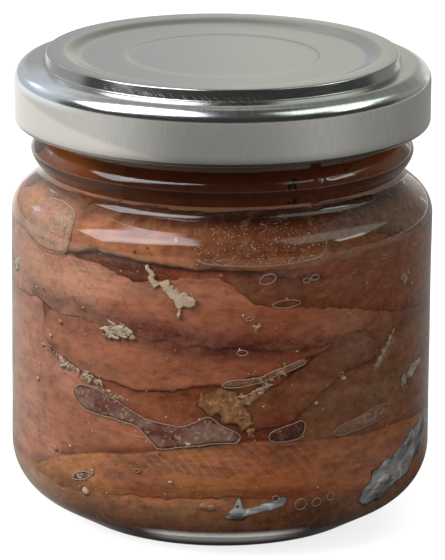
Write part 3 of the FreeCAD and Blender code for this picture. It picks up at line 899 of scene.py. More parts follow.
def make_lower_fillets():
    """The fillets across the lower half of the front, down to the heel, and one behind them all."""
    fillet("fillet_left_lower", [(-108, 35.8), (-85, 35.5), (-70, 35.6), (-61, 35.2), (-58, 29.4),
           (-50, 28.2), (-42, 27.0), (-34, 24.8), (-26, 22.6), (-20, 20.4), (-12, 17.8)], [(-108, 10),
           (-85, 9.0), (-70, 8.6), (-60, 9.4), (-50, 11.8), (-40, 13.3), (-30, 14.3), (-20, 15.2),
           (-12, 16.4)], "salmon", "pink", 18, film=0.48, dive=(0.3, 0.5), ragged=(0.3, 0.2), spread=(7, 4),
           tips=(9.0, 2.0), pale=[(-50, 12.9, 1.0, 0.5, "dark", 0.9), (-46, 13.4, 0.8, 0.4, "dark", 0.9),
           (-58, 22, 6, 3, "plum", 0.3), (-35, 18, 6, 1.2, "orange", 0.6), (-88, 20, 8, 12, "pink", 0.6),
           (-43, 15.5, 7, 2.4, "brown", 0.55), (-54, 28.3, 3.2, 0.9, "pink", 0.9),
           (-47, 26.9, 3, 0.8, "bone", 0.45), (-40, 25.7, 3, 0.8, "pink", 0.8)])
    fillet("fillet_behind_pocket", [(-46, 27.6), (-30, 27.0), (-20, 26.6), (-10, 27.2), (0, 28.0),
           (11, 29.2), (22, 30.4)], [(-46, 22.0), (-36, 21.6), (-30, 20.4), (-24, 19.0), (-18, 16.2),
           (-10, 16.2), (-4, 16.6), (9, 16.8), (22, 16.8)], "red", "orange", 21, film=0.74, dive=(0.2, 0.0),
           ragged=(0.2, 0.2), spread=(7, 1.8), pale=[(-27, 23.6, 5, 0.9, "orange", 0.8),
           (-8, 22.8, 6, 0.8, "brown", 0.7)])
    fillet("fillet_slant", [(6, 24.4), (12, 26.0), (17, 27.0), (22, 28.4), (30, 30.6), (36, 32.5),
           (40, 33.3), (44, 33.0), (48, 31.8), (52, 29.5)], [(6, 19.6), (14, 19.9), (21, 20.6), (25, 22.2),
           (31, 24.6), (36, 26.2), (42, 27.4), (48, 27.8), (52, 28.5)], "red", "brown", 24, film=0.28,
           dive=(0, 0), ragged=(0.3, 0.2), tips=(1.5, 1.5), spread=(6, 3),
           pale=[(40, 31, 3.5, 1.6, "grey", 0.55), (24, 26, 5, 0.6, "pink", 0.5)])
    fillet("fillet_right_side", [(36, 38.0), (50, 37.4), (60, 36.6), (75, 35.8), (101, 35.0)], [(36, 26),
           (50, 26.2), (56, 29.0), (60, 30.0), (75, 30.5), (101, 31)], "brown", "red", 26, film=0.52,
           dive=(0.2, 0.3), tips=(2.0, 7.0), pale=[(60, 36, 5, 0.8, "olive", 0.6)])
    fillet("fillet_right_lower", [(20, 22.4), (26, 23.8), (32, 26.2), (38, 27.4), (44, 27.9), (49, 27.9),
           (53, 30.0), (57, 32.0), (63, 33.2), (80, 33.0), (119, 29)], [(20, 15.8), (30, 15.9), (40, 15.6),
           (50, 15.4), (65, 15.4), (80, 15.0), (119, 18)], "brown", "olive", 28, film=0.42, dive=(0.1, 0.4),
           ragged=(0.35, 0.2), tips=(1.5, 9.0), spread=(8, 3), pale=[(52, 28.6, 2.2, 1.4, "pale", 0.35),
           (40, 24, 4, 0.5, "pink", 0.4)])
    fillet("fillet_bottom", [(-66, 9.8), (-57, 11.6), (-50, 13.0), (-42, 14.2), (-32, 15.2), (-22, 16.0),
           (-12, 17.1), (0, 18.0), (10, 18.3), (20, 18.2), (30, 17.8), (45, 17.3), (60, 17.2), (75, 16.4),
           (130, 14.0)], [(-66, 8.0), (-55, 7.4), (-45, 7.6), (-35, 8.4), (-20, 9.0), (-8, 9.4), (10, 9.4),
           (25, 8.8), (40, 7.6), (55, 7.0), (75, 7), (130, 8)], "golden", "orange", 31, film=0.28,
           dive=(0, 0.2), ragged=(0.12, 0.4), tips=(5.0, 9.0), lines=(-27, 38, 12.4, 18.6, 0.9, 1.6, 0.40),
           spread=(10, 2.0), step=0.17, pale=[(8, 11.4, 15, 1.8, "golden", 0.7),
           (-50, 9.6, 5, 1.3, "dark", 0.6), (-20, 10.4, 7, 0.9, "red", 0.6),
           (20, 10.2, 9, 0.8, "red", 0.6)])
    fillet("fillet_heel", [(-104, 12.0), (-75, 11.0), (-50, 10.4), (-30, 10.8), (0, 11.2), (30, 11.0),
           (60, 10), (116, 9)], [(-104, 4.1), (-40, 4.1), (0, 4.1), (40, 4.1), (116, 4.1)], "olive",
           "brown", 33, film=0.36, thick=1.6, dive=(0.5, 0.0), ragged=(0.2, 0.0), spread=(5, 1.5),
           light=1.6, pale=[(30, 7, 7, 3.5, "dark", 0.75), (80, 7, 26, 9, "dark", 0.45),
           (-42, 8.5, 8, 3.0, "dark", 0.5)])
    fillet("fillet_backing", [(-78, 38), (-50, 37.5), (-20, 37), (20, 37), (60, 36)], [(-78, 22), (-50, 20),
           (-20, 18), (20, 18), (60, 18)], "red", "brown", 35, film=1.15, step=0.6)


BACK_START = 92        # angles between which the back fillets start
BACK_END = 268
BACK_LIMIT = 278       # the furthest that one reaches
BACK_GAP = 28          # one that ends less than this before the limit is drawn out to it


def make_back_fillets():
    """Layers of fillets round the rest of the jar, each overlapping the one below."""
    draw = np.random.default_rng(21)
    names = ("salmon", "orange", "brown", "golden", "pink", "red")
    z, row = 4.4, 0
    while z < 50:
        height = draw.uniform(5.0, 8.0)
        start = BACK_START + draw.uniform(-9, 9)
        while start < BACK_END:
            end = min(start + draw.uniform(55, 100), BACK_LIMIT)
            if end > BACK_LIMIT - BACK_GAP:
                end = BACK_LIMIT
            tilt, bow = draw.uniform(-2.4, 2.4), draw.uniform(-1.2, 1.2)
            places = np.linspace(start, end, 6)
            t = np.linspace(-1, 1, 6)
            lean = tilt * t + bow * (1 - t * t)
            low = np.clip(z - 1.6 + lean, 4.1, 52)
            high = np.clip(z + height + lean + draw.uniform(-0.3, 1.0), low + 2.5, 52.5)
            colour, other = (str(c) for c in draw.choice(names, 2, replace=False))
            band = None
            if draw.random() < 0.5:
                band = ([*zip(places, (low + high) / 2 + draw.uniform(-0.8, 0.8))], 1.1)
            slant = draw.choice([-1.0, 1.0])
            lines = (start + 4, end - 4, float(low.min()), float(high.max()), slant, 2.0, 0.4)
            fillet(f"fillet_back_{row:02d}", [*zip(places, high)], [*zip(places, low)], colour, other,
                   40 + row, film=0.26 + 0.12 * (row % 3), dive=(0.3, 0.1), band=band, step=0.5,
                   ragged=(0.35, 0.35), lines=lines if draw.random() < 0.5 else None, tips=(8.0, 8.0))
            start = end - draw.uniform(4, 10)
            row += 1
            if end >= BACK_LIMIT:
                break
        z += height
    fillet("fillet_back_neck", [(100, 58), (130, 57.5), (180, 58), (230, 57.5), (272, 58)], [(100, 49),
           (130, 48.5), (180, 49), (230, 49), (272, 49)], "brown", "red", 90, film=2.32, dive=(1.5, 0.0),
           step=0.8)


# ---------------------------------------------------------------- small things against the glass

def closed_curve(points, step=0.15):
    """A smooth closed curve through (angle, height) points, as millimetres along the wall and height."""
    p = np.array([(along_wall(a), z) for a, z in points], float)
    before, after, beyond = np.roll(p, 1, 0), np.roll(p, -1, 0), np.roll(p, -2, 0)
    curve = []
    for a, b, c, d in zip(before, p, after, beyond):
        n = max(int(np.linalg.norm(c - b) / step), 2)
        t = (np.arange(n) / n)[:, None]
        curve.append(0.5 * (2 * b + (c - a) * t + (2 * a - 5 * b + 4 * c - d) * t ** 2
                            + (3 * b - a - 3 * c + d) * t ** 3))
    return np.vstack(curve)


def is_inside(s, z, curve):
    """Whether the points lie inside a closed curve."""
    a, b = curve, np.roll(curve, -1, 0)
    crosses = (a[:, 1] > z[..., None]) != (b[:, 1] > z[..., None])
    level = np.where(np.abs(b[:, 1] - a[:, 1]) < 1e-9, 1e-9, b[:, 1] - a[:, 1])
    at = a[:, 0] + (z[..., None] - a[:, 1]) * (b[:, 0] - a[:, 0]) / level
    return (np.sum(crosses & (s[..., None] < at), -1) % 2) == 1


def outlined_grid(curve, step):
    """Points inside a closed curve, their distances from it, and the squares that they make."""
    low, high = curve.min(0) - step, curve.max(0) + step
    s, z = np.meshgrid(np.arange(low[0], high[0] + step, step), np.arange(low[1], high[1] + step, step))
    reach = np.linalg.norm(np.stack([s, z], -1)[..., None, :] - curve, axis=-1)
    near, distance = reach.argmin(-1), reach.min(-1)
    inside = is_inside(s, z, curve)
    usable = inside | (distance < 0.7 * step)
    s, z = np.where(inside, s, curve[near, 0]), np.where(inside, z, curve[near, 1])
    distance = np.where(inside, distance, 0.0)
    corner = np.argwhere(usable[:-1, :-1] & usable[1:, :-1] & usable[:-1, 1:] & usable[1:, 1:])
    width = s.shape[1]
    base = corner[:, 0] * width + corner[:, 1]
    squares = np.stack([base, base + 1, base + width + 1, base + width], -1)
    used, squares = np.unique(squares, return_inverse=True)
    return s.ravel()[used], z.ravel()[used], distance.ravel()[used], squares.reshape(-1, 4)


def open_sides(squares):
    """The sides that belong to one square only, each as its two points."""
    sides = {}
    for square in squares:
        for a, b in zip(square, np.roll(square, -1)):
            if (b, a) in sides:
                del sides[(b, a)]
            else:
                sides[(a, b)] = True
    return list(sides)


def patch(name, outline, depth, thick, colouring, seed, ragged=0.0, relief=0.05, step=0.2, edge=0.4,
          skin=None):
    """A thin flat thing on the glass inside a closed outline. colouring(s, z, from_edge) gives its tint."""
    curve = closed_curve(outline)
    turn = np.arange(len(curve)) * 0.15
    shift = [rough(turn / 1.1, 0 * turn, seed, 4), rough(turn / 1.1, 0 * turn + 5, seed + 1, 4)]
    curve = curve + ragged * np.stack(shift, -1)
    s, z, distance, squares = outlined_grid(curve, step)
    count = len(s)
    raised = relief * (0.5 + 0.5 * rough(s / 1.1, z / 0.8, seed + 7))
    front = depth + 0.5 * thick * (1 - rounded(distance / edge)) + raised
    vertices = np.vstack([at_wall(s, z, front), at_wall(s, z, depth + thick + relief + 0 * s)])
    faces = [tuple(q) for q in squares] + [tuple(q[::-1] + count) for q in squares]
    faces += [(b, a, a + count, b + count) for a, b in open_sides(squares)]
    piece = new_piece(name, vertices, faces, [skin or FISH])
    tint = colouring(s, z, distance)
    paint(piece, np.vstack([tint, tint]), np.tile(np.stack([s, z, np.full(count, seed * 1.3)], -1), (2, 1)))
    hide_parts("fillets")
    return curve


class Gathered:
    """Many small things of one kind, kept as one piece."""

    def __init__(self, name):
        self.name, self.points, self.faces, self.tints, self.count = name, [], [], [], 0

    def add(self, points, faces, tint):
        """Takes in one small thing."""
        self.points.append(points)
        self.faces += [tuple(i + self.count for i in f) for f in faces]
        self.tints.append(np.broadcast_to(tint, points.shape))
        self.count += len(points)

    def finish(self):
        """Makes the piece."""
        points, tints = np.vstack(self.points), np.vstack(self.tints)
        piece = new_piece(self.name, points, self.faces, [FISH])
        paint(piece, tints, points * 1.7)
        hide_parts("fillets")


def ball(divisions):
    """Points and faces of a unit sphere made of triangles."""
    mesh = bmesh.new()
    bmesh.ops.create_icosphere(mesh, subdivisions=divisions, radius=1.0)
    points = np.array([v.co[:] for v in mesh.verts])
    faces = [tuple(v.index for v in f.verts) for f in mesh.faces]
    mesh.free()
    return points, faces


COARSE_BALL, FINE_BALL = ball(2), ball(1)


def flake(gathered, shape, angle, z, size, tint, depth=0.12, flat=0.4, seed=0, wild=0.35, turn=0.0):
    """An uneven crumb against the glass. size is its half length and half height."""
    points, faces = shape
    bulge = 1 + wild * rough(points[:, 0] * 2.2 + seed, points[:, 1] * 2.2 + points[:, 2] * 1.3, seed, 4)
    p = points * bulge[:, None] * (size[0], size[1], min(size) * flat)
    c, n = math.cos(turn), math.sin(turn)
    s = along_wall(angle) + p[:, 0] * c - p[:, 1] * n
    h = z + p[:, 0] * n + p[:, 1] * c
    gathered.add(at_wall(s, h, depth + min(size) * flat - p[:, 2]), faces, tint)


def rim(gathered, curve, radius, depth, tint, sides=6):
    """A thin round line along a closed curve on the glass."""
    ahead = np.roll(curve, -1, 0) - np.roll(curve, 1, 0)
    ahead /= np.maximum(np.linalg.norm(ahead, axis=1, keepdims=True), 1e-9)
    rings = []
    for k in range(sides):
        a = 2 * math.pi * k / sides
        s = curve[:, 0] - ahead[:, 1] * radius * math.cos(a)
        z = curve[:, 1] + ahead[:, 0] * radius * math.cos(a)
        rings.append(at_wall(s, z, depth - radius * math.sin(a)))
    gathered.add(np.vstack(rings), grid_faces(sides, len(curve), rows_close=True, columns_close=True), tint)


def oval(angle, z, width, height, turn=0.0, points=10):
    """An oval of (angle, height) points."""
    a = np.linspace(0, 2 * math.pi, points, endpoint=False)
    s, h = width / 2 * np.cos(a), height / 2 * np.sin(a)
    c, n = math.cos(turn), math.sin(turn)
    return [(angle + math.degrees((x * c - y * n) / CAVITY_RADIUS), z + x * n + y * c) for x, y in zip(s, h)]


def mixed(first, second, size=(1.0, 0.7), seed=0, dots=0.0, dot="pale", edge_dark=0.0):
    """A colouring of two tints in patches, with dots of a third."""
    def colouring(s, z, from_edge):
        share = smoothstep(0.5 + 0.8 * rough(s / size[0], z / size[1], seed))
        tint = TINTS[first] * (1 - share)[:, None] + TINTS[second] * share[:, None]
        spots = dots * smoothstep((noise(s / 0.35, z / 0.35, seed + 4) - 0.45) / 0.3)
        tint = blend(tint, spots, TINTS[dot])
        return tint * (1 - edge_dark * np.exp(-(from_edge / 0.35) ** 2))[:, None] * shade_of(z)[:, None]
    return colouring


def crumpled(seed, turn, light=1.0):
    """A colouring of creased silver skin, with its creases along a turned direction: painted shade in the
    folds and painted highlights along the ridges.
    """
    def colouring(s, z, from_edge):
        along, across = s * math.cos(turn) + z * math.sin(turn), z * math.cos(turn) - s * math.sin(turn)
        # painted shade in the folds and painted highlights along the ridges
        crease_shade = rough(along / 3.4, across / 1.6, seed, 2)
        ridge = np.exp(-(noise(along / 3.0, across / 1.3, seed + 5) / 0.13) ** 2)
        tint = TINTS["silver"] * (0.08 + 0.42 * smoothstep(0.42 + 1.3 * crease_shade))[:, None]
        tint = blend(tint, 0.60 * ridge * smoothstep(0.3 + crease_shade), np.array((0.62, 0.64, 0.66)))
        return light * tint * (1 - 0.5 * np.exp(-(from_edge / 0.2) ** 2))[:, None]
    return colouring


POCKETS = [
    ("long",
     [(-46, 23), (-44, 24.4), (-40, 24.5), (-35, 24.1), (-30, 23.1), (-25, 21.9), (-20, 21.0), (-12, 20.4),
      (-8, 20.9), (-3.5, 22), (0.5, 20.8), (5, 19.6), (5.6, 18.7), (4, 18.2), (0, 18.1), (-8, 17.6),
      (-17, 16.8), (-19, 17.4), (-22, 18.9), (-25, 20), (-32, 20.5), (-40, 20.8), (-44, 21.6)],
     mixed("plum", "grey", (3.5, 1.2), 3, 0.5, "pale", 0.3)),
    ("round_right",
     [(14, 19.2), (15, 18.2), (19, 18.0), (23, 18.4), (24.5, 19.8), (23.6, 20.9), (20, 20.5), (16, 19.9)],
     mixed("plum", "dark", (2, 1), 5, 0.4, "grey", 0.2)),
    ("grey_right",
     [(34, 18.5), (36, 17.9), (42, 18.1), (50, 18.6), (55.5, 19.6), (55, 20.5), (50, 20.8), (43, 20.0),
      (37, 19.4)],
     mixed("grey", "brown", (3, 1), 6, 0.3, "pale")),
    ("patch_left",
     [(-69, 44.2), (-70, 46.5), (-66, 48.5), (-58, 48.9), (-50, 48.2), (-47.5, 46.2), (-49, 43.8),
      (-54, 43.1), (-62, 43.2)],
     mixed("pink", "fawn", (2.5, 1.5), 7, 0.4, "pale", 0.1)),
    ("hollow_left",
     oval(-43, 10.7, 3.6, 1.2, 0.35),
     mixed("grey", "dark", (0.8, 0.5), 15, 0.5, "pale", 0.3)),
    ("sliver",
     [(0.5, 26.9), (3, 27.5), (10, 27.8), (15, 28.7), (23, 29.9), (24, 29.3), (16, 28.0), (10, 27.0),
      (3, 26.4)],
     mixed("grey", "brown", (2, 0.6), 8, 0.5, "cream")),
]


def make_pockets():
    """Places where oil or a bubble lies between the fish and the glass, each with its thin pale outline."""
    rims = Gathered("pocket_rims")
    for k, (name, outline, colouring) in enumerate(POCKETS):
        curve = patch(f"pocket_{name}", outline, 0.10, 0.5, colouring, 60 + k, ragged=0.10, relief=0.08)
        rim(rims, curve, 0.06, 0.09, TINTS["pale"] * 0.8)
    add_bubble_rims(rims)
    rims.finish()


def add_bubble_rims(rims):
    """The outlines of bubbles, and the lower edge of the froth under the shoulder."""
    bubbles = [oval(*sizes) for sizes in (
        (13, 42.3, 2.4, 1.4, 0.3), (24.5, 41.7, 1.1, 0.7), (27, 42.0, 1.2, 0.8),
        (18.5, 38.5, 4.0, 1.1, 0.03, 14), (6, 31.6, 1.5, 0.8), (23.5, 8.5, 1.7, 1.5),
        (28.5, 8.5, 1.4, 1.1), (33, 9.0, 1.2, 1.0), (16, 9.6, 1.0, 0.8), (36, 27.0, 0.9, 0.6),
        (-24, 13.2, 0.9, 0.5), (52, 43.0, 1.2, 0.6), (8, 36.6, 1.2, 0.5, 0.3))]
    draw = np.random.default_rng(5)
    for _ in range(26):
        bubbles.append(oval(draw.uniform(92, 268), draw.uniform(8, 46), draw.uniform(0.8, 4.0),
                            draw.uniform(0.6, 1.4), draw.uniform(-0.3, 0.3)))
    for points in bubbles:
        rim(rims, closed_curve(points, 0.2), 0.06, 0.09, TINTS["pale"] * 0.75)
    froth_foot = [(-6.5, 45.0), (-3, 44.5), (4, 44.3), (12, 44.2), (22, 44.4), (29, 45.0), (31, 46.4)]
    low_edge = froth_foot + [(a, z + 0.12) for a, z in froth_foot[::-1]]
    rim(rims, closed_curve(low_edge), 0.04, 0.07, TINTS["cream"] * 0.6)


def make_scraps():
    """Torn skin, silver skin and torn flesh lying on the glass."""
    patch("torn_skin", [(-22.3, 44.3), (-20.5, 43.6), (-18.2, 42.2), (-15, 41.6), (-12.8, 40.6),
          (-10.6, 40.5), (-7.4, 39.6), (-7.6, 38.2), (-10, 38.3), (-11.2, 36.8), (-12.6, 36.9),
          (-13.2, 38.6), (-15.4, 39.4), (-18, 40.8), (-20.4, 41.6)], 0.08, 0.35, mixed("bone", "pale",
          (0.7, 0.5), 9, 0.9, "fawn"), 71, ragged=0.85, relief=0.14, edge=0.2, step=0.14)
    patch("torn_flesh", [(-6, 23.8), (-5, 25.6), (-1, 26.1), (4, 25.8), (6.5, 24.0), (9, 21.6), (8.4, 20.2),
          (6.0, 19.9), (4.2, 20.8), (1.4, 20.9), (-1.0, 22.4), (-3, 22.2)], 0.08, 0.7, mixed("yellow",
          "brown", (0.45, 1.8), 10, 0.5, "cream", 0.6), 72, ragged=0.55, relief=0.16, step=0.14)
    patch("torn_clump", [(5, 24.3), (7, 25.2), (10, 26.0), (13.5, 27.1), (15, 26.6), (12, 25.2), (9, 24.0),
          (6.5, 23.7)], 0.10, 0.6, mixed("grey", "yellow", (0.6, 0.6), 11, 0.8, "cream", 0.4), 73,
          ragged=0.35, relief=0.16, step=0.16)
    patch("silver_left", [(1.5, 7.2), (3.4, 8.5), (5.1, 9.9), (6.3, 9.4), (7.2, 8.5), (11.4, 8.9),
          (15.3, 9.4), (17.4, 9.9), (19.5, 9.5), (18, 8.3), (13.2, 7.9), (8.6, 7.4), (6.6, 6.7),
          (2.8, 6.9)], 0.08, 0.35, crumpled(12, 0.1, 1.7), 74, ragged=0.12, relief=0.05, step=0.16,
          skin=SKIN)
    patch("silver_right", [(44, 7.0), (46, 8.8), (49, 10.8), (54, 12.0), (60, 12.6), (67, 14.2), (76, 15.6),
          (84, 16.0), (87, 13.4), (80, 11.2), (73, 9.8), (66, 8.8), (60, 8.2), (55, 7.2), (49, 6.4)], 0.08,
          0.45, crumpled(13, 0.5), 75, ragged=0.55, relief=0.05, skin=SKIN)
    draw = np.random.default_rng(9)
    for k in range(5):
        a, z = draw.uniform(100, 260), draw.uniform(9, 44)
        size, turn = draw.uniform(2.0, 5.0), draw.uniform(-0.8, 0.8)
        is_flesh = k % 2 == 1
        colouring = mixed("pale", "cream", (1, 0.8), k, 0.4, "grey") if is_flesh else crumpled(k, turn)
        patch(f"scrap_back_{k}", oval(a, z, size, size * 0.35, turn), 0.08, 0.4, colouring, 80 + k,
              ragged=0.5, relief=0.14, skin=FISH if is_flesh else SKIN)


# How many crumbs, how far they stray, their sizes, their tint and the line that they lie along
CRUMB_TRAILS = [
    (60, 0.42, (0.16, 0.55), "bone", [(-33.5, 33.4), (-30, 33.8), (-27, 33.3)]),
    (70, 0.34, (0.06, 0.34), "bone", [(-59, 28.6), (-52, 27.6), (-48, 26.6), (-41.5, 26.0), (-36, 25.6)]),
    (30, 0.25, (0.06, 0.26), "pale", [(-44, 26.0), (-34, 24.6), (-27, 23.4)]),
    (60, 0.16, (0.10, 0.34), "bone", [(49.5, 26.8), (53, 28.9), (57, 31.2)]),
    (34, 0.35, (0.08, 0.30), "cream", [(5, 24.8), (9, 25.4), (14, 27.0), (20, 28.8)]),
    (30, 0.30, (0.08, 0.28), "yellow", [(6, 22.4), (8.6, 20.6), (8, 18.8)]),
    (10, 0.30, (0.15, 0.45), "bone", [(62, 38.2), (64, 38.9)]),
    (26, 0.26, (0.18, 0.60), "bone", [(63, 22.8), (68, 23.9), (73, 24.2)]),
    (22, 0.22, (0.25, 0.60), "bone", [(-80, 38.0), (-78, 38.9)]),
    (12, 0.14, (0.12, 0.30), "cream", [(9.5, 35.3), (11, 35.5)]),
    (14, 0.30, (0.08, 0.28), "pale", [(-47, 10.2), (-41, 10.8), (-38, 11.6)]),
]
# Angle, height, size and tint
SINGLE_CRUMBS = [
    (62.5, 38.8, 0.8, "fawn"), (68, 23.6, 1.0, "bone"), (74, 24.4, 0.6, "bone"), (-79.5, 38.4, 0.6, "bone"),
    (-4.6, 8.7, 0.55, "fawn"), (-2.4, 8.6, 0.5, "fawn"), (5.0, 8.8, 0.34, "plum"), (-51.5, 33, 0.38, "pink"),
    (-54, 13.6, 0.5, "pink"), (-41.5, 8.7, 0.55, "cream"), (-9, 17.9, 0.42, "cream"),
    (37, 26.3, 0.36, "cream"), (28, 23.3, 0.28, "cream"), (-63, 23.0, 0.36, "pale"),
    (-56, 30.4, 0.30, "pale"), (-14, 12.0, 0.28, "pale"),
]


def strew(crumbs, draw, count, stray, sizes, tint, path):
    """Crumbs along a line of (angle, height) points."""
    for _ in range(count):
        k = draw.integers(len(path) - 1)
        t = draw.random()
        a = path[k][0] * (1 - t) + path[k + 1][0] * t + draw.normal(0, stray * 2)
        z = path[k][1] * (1 - t) + path[k + 1][1] * t + draw.normal(0, stray)
        size = draw.uniform(*sizes)
        colour = TINTS[tint] * draw.uniform(0.6, 1.0) * shade_of(z)
        shape = COARSE_BALL if size > 0.14 else FINE_BALL
        flake(crumbs, shape, a, z, (size * draw.uniform(0.8, 1.9), size * draw.uniform(0.4, 0.9)), colour,
              draw.uniform(0.08, 0.16), 0.35, int(draw.integers(999)), 0.95, draw.uniform(-1, 1))


def make_crumbs(draw):
    """Pale crumbs of flesh and fat."""
    crumbs = Gathered("cream_crumbs")
    for trail in CRUMB_TRAILS:
        strew(crumbs, draw, *trail)
    for a, z, size, tint in SINGLE_CRUMBS:
        flake(crumbs, COARSE_BALL, a, z, (size * 1.2, size * 0.85), TINTS[tint] * 0.9, 0.07, 0.5,
              int(z * 10), 0.3)
    for _ in range(12):
        a, z = draw.uniform(95, 265), draw.uniform(8, 46)
        path = [(a, z), (a + draw.uniform(3, 9), z + draw.uniform(-1, 1))]
        strew(crumbs, draw, 12, 0.3, (0.08, 0.4), "cream", path)
    crumbs.finish()


def make_specks(draw):
    """Fine specks all round the jar."""
    specks = Gathered("pale_specks")
    for _ in range(900):
        a, z = draw.uniform(-180, 180), draw.uniform(5, 48)
        size = draw.uniform(0.03, 0.10) if draw.random() < 0.85 else draw.uniform(0.10, 0.18)
        tint = TINTS[str(draw.choice(["cream", "pale", "golden", "dark"], p=[0.35, 0.3, 0.15, 0.2]))]
        flake(specks, FINE_BALL, a, z, (size * draw.uniform(1, 2.2), size), tint * shade_of(z), 0.06, 0.5,
              int(draw.integers(999)), 0.3, draw.uniform(-1.5, 1.5))
    specks.finish()


def make_fine_bubbles(draw):
    """The fine bubbles caught under the shoulder and in the pocket on the left, as small pale balls whose
    pale tint is a painted glint.
    """
    froth = Gathered("fine_bubbles")
    for _ in range(620):
        a = draw.uniform(-8, 32)
        z = 44.5 + 4.6 * draw.random() ** 2.0
        size = draw.uniform(0.03, 0.10)
        tint = TINTS[str(draw.choice(["cream", "golden", "yellow"]))] * 0.9
        flake(froth, FINE_BALL, a, z, (size, size), tint, 0.05, 1.0, 0, 0.0)
    for _ in range(160):
        a, z = draw.uniform(-57, -48), draw.uniform(43.8, 47.8)
        size = draw.uniform(0.04, 0.12)
        flake(froth, FINE_BALL, a, z, (size, size), TINTS["cream"], 0.05, 1.0, 0, 0.0)
    froth.finish()


# ---------------------------------------------------------------- stage

def camera():
    """A long lens a little above the jar."""
    elevation, distance = math.radians(15.53), 0.650
    target = Vector((0.00018, 0, 0.03424))
    back = Vector((0, -math.cos(elevation), math.sin(elevation)))
    data = bpy.data.cameras.new("camera")
    data.sensor_fit = "VERTICAL"
    data.sensor_height = 36.0
    data.lens = 282.05
    data.clip_start = 0.01
    eye = placed("camera", data)
    eye.location = target + back * distance
    aim = back.to_track_quat("Z", "Y").to_matrix().to_4x4()
    eye.rotation_euler = (aim @ Matrix.Rotation(math.radians(0.45), 4, "Z")).to_euler()
    bpy.context.scene.camera = eye


def lamp(name, angle, elevation, distance, size, power, colour=(1, 1, 1)):
    """A square soft lamp that faces the jar and shows in no reflection."""
    data = bpy.data.lights.new(name, "AREA")
    data.size = size
    data.energy = power
    data.color = colour
    light = placed(name, data)
    a, e = math.radians(angle), math.radians(elevation)
    towards = Vector((math.sin(a) * math.cos(e), -math.cos(a) * math.cos(e), math.sin(e)))
    light.location = towards * distance + Vector((0, 0, 0.035))
    light.rotation_euler = towards.to_track_quat("Z", "Y").to_euler()
    light.visible_glossy = False
    light.visible_transmission = False


def in_sky_panel(direction, corners, soft):
    """1 inside a straight-sided panel overhead, given as x / height and y / height of its corners."""
    up = np.maximum(direction[..., 2], 1e-4)
    u, v = direction[..., 0] / up, direction[..., 1] / up
    centre = np.mean(corners, 0)
    inside = np.full(u.shape, 1e9)
    for (a, b), (c, d) in zip(corners, corners[1:] + corners[:1]):
        normal = np.array([d - b, a - c]) / math.hypot(d - b, a - c)
        sign = 1 if np.dot(centre - (a, b), normal) > 0 else -1
        inside = np.minimum(inside, sign * ((u - a) * normal[0] + (v - b) * normal[1]))
    return smoothstep(inside / soft + 0.5) * (direction[..., 2] > 0.05)


def in_window(az, el, az_range, el_range, soft):
    """1 inside a window of directions, falling to 0 over soft degrees round it."""
    inside = np.minimum(np.minimum(az - az_range[0], az_range[1] - az),
                        np.minimum(el - el_range[0], el_range[1] - el))
    return smoothstep(inside / soft + 0.5)


# Corners of the bright panels overhead, as x / height and y / height
SKYLIGHT = [(-0.23, -0.92), (-0.20, -0.40), (-0.25, -0.08), (-0.40, 0.08), (-1.60, 0.08), (-2.30, -0.90)]
SKYLIGHT_MIDDLE = [(-0.36, -0.78), (-0.40, -0.46), (-1.20, -0.36), (-1.50, -0.64)]
RIGHT_PANEL = [(0.38, -0.42), (0.85, -0.90), (1.75, 0.10), (1.45, 0.75), (0.75, 0.20)]
DOME_RADIUS = 1.5          # in metres, like the table's height
TABLE_HEIGHT = 0.0003


def room_glow(direction, az, el):
    """What the room sends from each direction, as the glass and the lid reflect it."""
    glow = np.full((*az.shape, 3), 0.055)
    back = 180 - np.abs(az)
    lights = [
        (in_window(back, el, (-99, 70), (-20, 90), 10), (0.30, 0.30, 0.29)),     # the wall behind the jar
        (in_window(az % 360, el, (152, 250), (-20, 45), 26), (0.76, 0.755, 0.70)),     # its lit part
        (in_window(az, el, (-181, -100), (-20, 34), 12), (0.54, 0.54, 0.56)),     # its left side
        (in_window(az, el, (100, 172), (18, 70), 22), (0.20, 0.20, 0.19)),     # a dim place high on its right
        (in_window(az, el, (152.5, 154.0), (1, 11), 1.4), (1.7, 1.7, 1.6)),     # a narrow bright strip
        (in_window(az, el, (-141, -118), (16, 30), 6), (0.80, 0.87, 0.98)),     # a window behind on the left
        (in_window(az, el, (-139, -132), (20, 26), 3), (2.3, 2.7, 3.2)),     # the sky through it
        (in_sky_panel(direction, SKYLIGHT, 0.13), (5.4, 5.5, 5.9)),
        (in_sky_panel(direction, SKYLIGHT_MIDDLE, 0.22), (8.2, 8.2, 8.5)),
        (in_sky_panel(direction, RIGHT_PANEL, 0.22), (1.25, 1.45, 1.3)),
        (in_window(az, el, (70, 92), (28, 34), 3), (5.0, 5.5, 5.1)),     # a small bright panel on the right
    ]
    for share, colour in lights:
        glow = glow * (1 - share[..., None]) + share[..., None] * np.array(colour)
    return glow


def table_glow(x, y):
    """The table as the lid's skirt and the glass reflect it: light at the left, darker in the middle."""
    a = np.degrees(np.arctan2(x, -y))
    out = np.hypot(x, y)
    value = 0.36 + 0.56 * smoothstep((-a - 14) / 60)
    value = value + 0.18 * np.exp(-((a - 54) / 22) ** 2) - 0.06 * smoothstep((a - 90) / 30)
    near = 0.10 + 0.25 * smoothstep((-a - 30) / 50) + 0.12 * smoothstep((-a - 110) / 40)
    near = near + 0.62 * smoothstep((a - 96) / 40)
    value = value * (near + (1 - near) * smoothstep((out - 0.165) / 0.07)) * 1.2
    foot_line = smoothstep((out - 0.0222) / 0.0010) * smoothstep((0.0278 - out) / 0.0020)
    foot_line = foot_line * smoothstep((a + 30) / 14) * smoothstep((34 - a) / 20)
    value = value + (0.42 + 1.3 * smoothstep((out - 0.0236) / 0.0014)) * foot_line
    return np.stack([value, value * 0.985, value * 0.95], -1)


